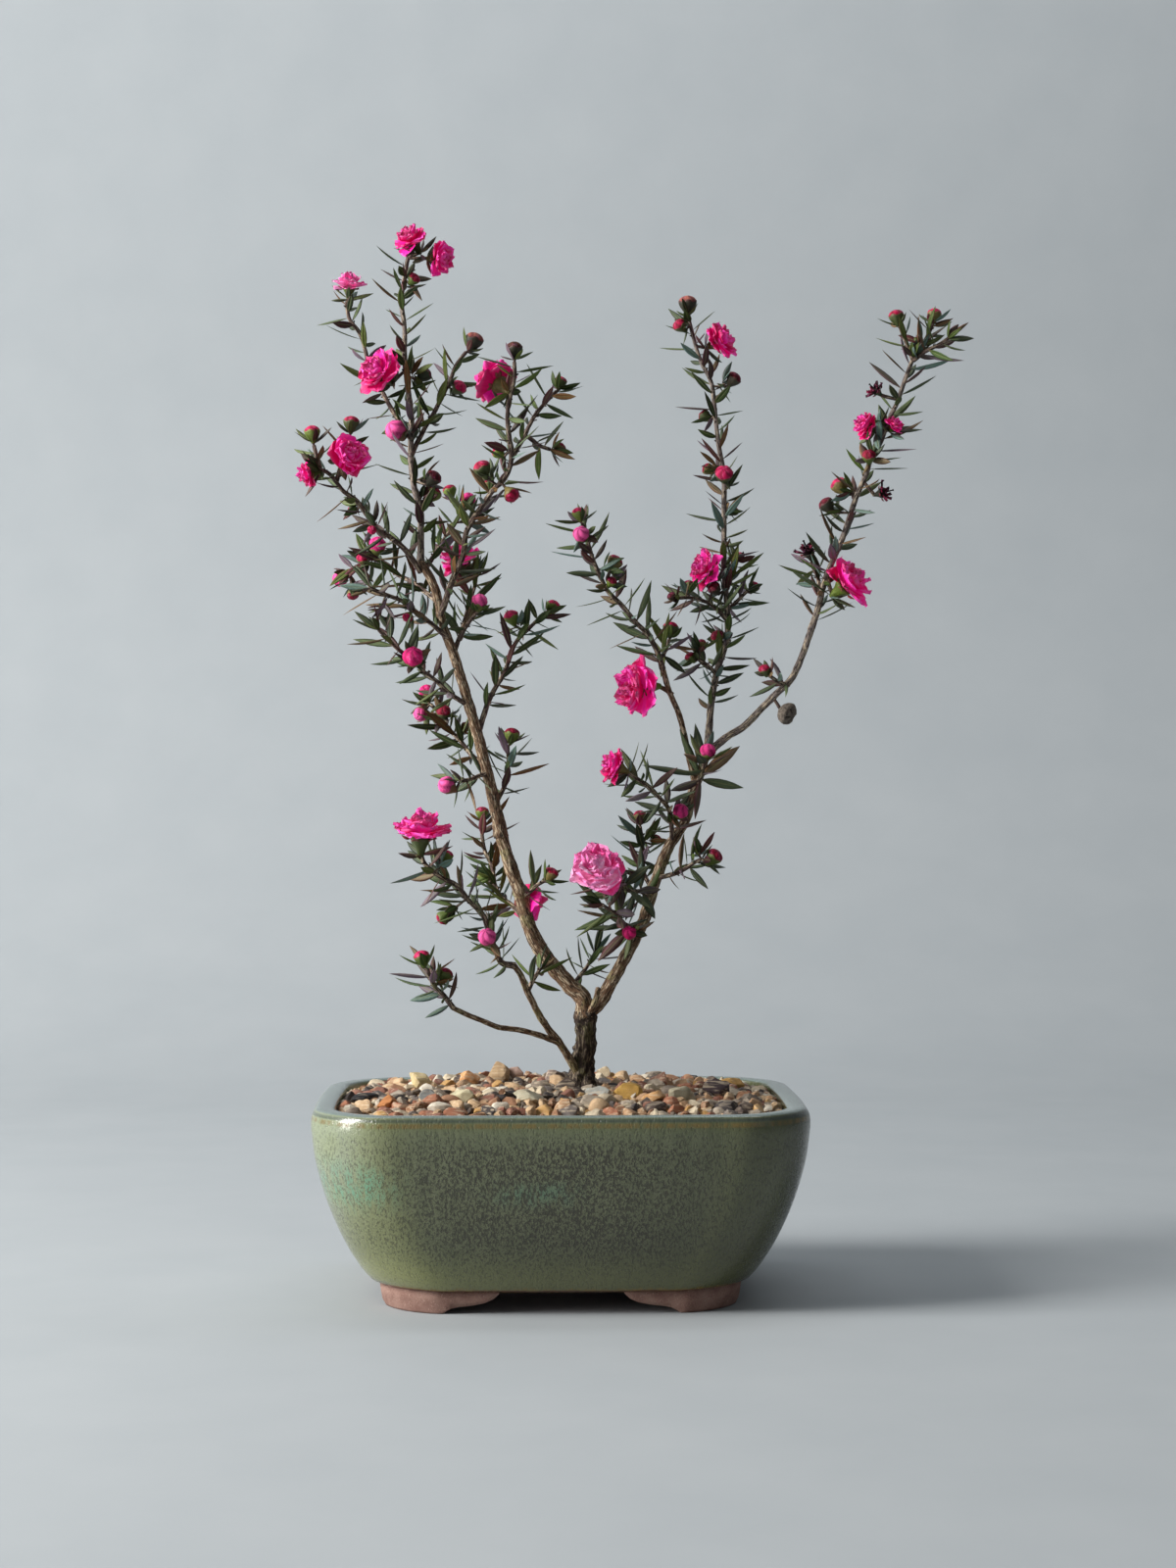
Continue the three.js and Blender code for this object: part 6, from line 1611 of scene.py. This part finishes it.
def depth_inside(x, y):
    """How far a place lies inside the pot's inner wall."""
    half_x, half_y, corner = INSIDE
    dx, dy = abs(x) - (half_x - corner), abs(y) - (half_y - corner)
    outside = math.hypot(max(dx, 0), max(dy, 0)) + min(max(dx, dy), 0)
    return corner - outside


def any_stone_tint(chance):
    return chance.choices(STONE_TINTS, STONE_WEIGHTS)[0]


def strew(shape, chance, spacing, sizes, sunk):
    """Stones in staggered rows, each a little out of place."""
    across, deep = int(INSIDE[0] // spacing) + 1, int(INSIDE[1] // spacing) + 1
    count = 0
    for i in range(-across, across + 1):
        for j in range(-deep, deep + 1):
            x = (i + (0.5 if j % 2 else 0) + chance.uniform(*JITTER)) * spacing
            y = (j + chance.uniform(*JITTER)) * spacing
            radius, tint = chance.uniform(*sizes), any_stone_tint(chance)
            trunk = math.hypot(x - TRUNK_FOOT[0], y - TRUNK_FOOT[1])
            if depth_inside(x, y) > 0.8 * radius + 0.2 and trunk > TRUNK_ROOM + radius * 0.7:
                z = gravel_level(x, y) - sunk * radius + chance.uniform(-0.5, 0.5)
                pebble(shape, (x, y, z), radius, chance, tint)
                count += 1
    return count


def line_the_wall(shape, chance, spacing, inset=1.8):
    """A row of small stones along the pot's inner wall."""
    half_x, half_y, corner = (size - inset for size in INSIDE)
    ring = pot_outline(half_x, half_y, 0, corner)[0]
    gone, count = 0.0, 0
    for (x0, y0, _), (x1, y1, _) in zip(ring, ring[1:] + ring[:1]):
        step = math.hypot(x1 - x0, y1 - y0)
        gone += step
        while gone >= spacing:
            gone -= spacing
            share = 1 - gone / step
            x, y = x0 + (x1 - x0) * share, y0 + (y1 - y0) * share
            radius, tint = chance.uniform(1.3, 1.9), any_stone_tint(chance)
            pebble(shape, (x, y, gravel_level(x, y) - chance.uniform(0.6, 1.2)), radius, chance, tint)
            count += 1
    return count


print("gravel in the middle:", gravel_level(0, 0), "mm high")

# %% Bed, strewn stones and known ones
def bed_point(x, y):
    return x, y, gravel_level(x, y) - BED_DEPTH + 0.5 * noise.noise(Vector((x, y, 3)) * 0.4)


KNOWN_STONES = [
    # across, behind, rise, radius, colour, facets, flatness
    (20, -17, 0.4, 4.8, (190, 150, 74), 14, 0.65), (49, -6, 0.9, 5.2, (66, 52, 56), 20, 0.8),
    (-60, -8, 0.2, 5.2, (34, 34, 38), 9, 0.35), (-10, -24, 0.2, 5.8, (190, 184, 160), 12, 0.45),
    (28, -26, 0.3, 3.8, (198, 152, 100), 10, 0.7), (-30, -21, 0.6, 4.4, (206, 198, 164), 14, 0.6),
    (12, -17, 0.5, 4.4, (172, 174, 168), 10, 0.5), (-43, 12, 1.4, 4.4, (214, 196, 148), 22, 0.8),
    (-19, 24, 1.4, 3.4, (176, 148, 112), 10, 1.3), (-28, 18, 1.0, 3.8, (216, 158, 104), 16, 0.8),
    (-40, -22, 0.5, 3.4, (112, 114, 112), 7, 0.7), (55, 20, 0.6, 4.6, (204, 160, 92), 8, 0.45),
    (-14, 27, 1.2, 3.2, (190, 160, 146), 8, 0.8), (36, -20, 0.5, 3.4, (176, 170, 146), 7, 0.8),
    (31, 10, 0.9, 3.6, (168, 118, 98), 9, 0.7), (-52, -22, 0.5, 3.2, (182, 120, 70), 9, 0.7),
    (-2, 14, 1.0, 3.4, (146, 128, 120), 8, 0.8), (14, 30, 1.2, 3.2, (198, 180, 150), 9, 0.7),
]
stone_chance = random.Random(11)
stones = Shape()
bed_ring = pot_outline(INSIDE[0] - 0.1, INSIDE[1] - 0.1, 0, INSIDE_CORNER - 0.1, (4, 6, 6))[0]
bed_rows = [[bed_point(x * share, y * share) for x, y, _ in bed_ring] for share in (0.1, 0.3, 0.5, 0.7, 0.86, 1.0)]
stones.grid(bed_rows, 0, paint(96, 78, 62), around=True, caps="first")
small = strew(stones, stone_chance, 3.4, (1.6, 2.4), 0.75)
large = strew(stones, stone_chance, 5.8, (2.2, 3.7), 0.35)
small += line_the_wall(stones, stone_chance, 3.0)
for x, y, rise, radius, tint, facets, squash in KNOWN_STONES:
    place = (x, y, gravel_level(x, y) + rise)
    pebble(stones, place, radius, stone_chance, paint(*tint), facets, (squash, squash + 0.05))
make_piece(stones, "river_pebble_bed", [river_pebbles], "gravel", "gravel", sharp_from=25)
print("pebbles:", small, "small and", large, "large,", triangle_counts["river_pebble_bed"], "triangles")

# %% [markdown]
# ## Soil and drain meshes
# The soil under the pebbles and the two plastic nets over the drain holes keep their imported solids,
# because nearly all of them is hidden. They still get a finish of their own.

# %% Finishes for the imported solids
def soil_finish():
    soil = Finish("potting_soil")
    place = soil.place()
    crumbs, cloud = soil.clouds(place, 0.9, 5.0, 0.7), soil.clouds(place, 0.15, 3.0)
    loam = soil.blend(crumbs.rises(0.35, 0.65), *paints((52, 38, 29), (98, 74, 55)))
    colour = soil.coats(loam, (cloud.rises(0.55, 0.7) * 0.5, (38, 30, 26)))
    return soil.close(colour, 0.85 + crumbs * 0.1, crumbs, 1.2, {"Specular IOR Level": 0.2})


def net_finish():
    net = Finish("drain_net_plastic")
    place = net.place()
    grain, dust = net.clouds(place, 4.0, 3.0), net.clouds(place, 0.3, 3.0)
    colour = net.blend(dust.rises(0.45, 0.7) * 0.5, *paints((34, 36, 38), (78, 68, 58)))
    return net.close(colour, 0.5 + grain * 0.2, grain, 0.1, {"Specular IOR Level": 0.4})


for node_name, finish in (("soil", soil_finish()), ("drain_mesh_left", net_finish()),
                          ("drain_mesh_right", net_finish())):
    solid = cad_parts[node_name]
    if not solid.material_slots:
        solid.data.materials.append(finish)
    for slot in solid.material_slots:
        slot.material = finish
print("triangles in all:", sum(triangle_counts.values()), "- most in a piece:", max(triangle_counts.values()))

# %% [markdown]
# ## Measure and finish
# The boxes of the imported model and of the dressed plant are both printed. The dressed plant
# may not be larger than the imported model.

# %% Write the two boxes and finish
visual_box = [list(corner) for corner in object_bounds()]
for label, box in (("packed", cad_box), ("dressed", visual_box)):
    print(label, [[round(value * 1000, 1) for value in corner] for corner in box])
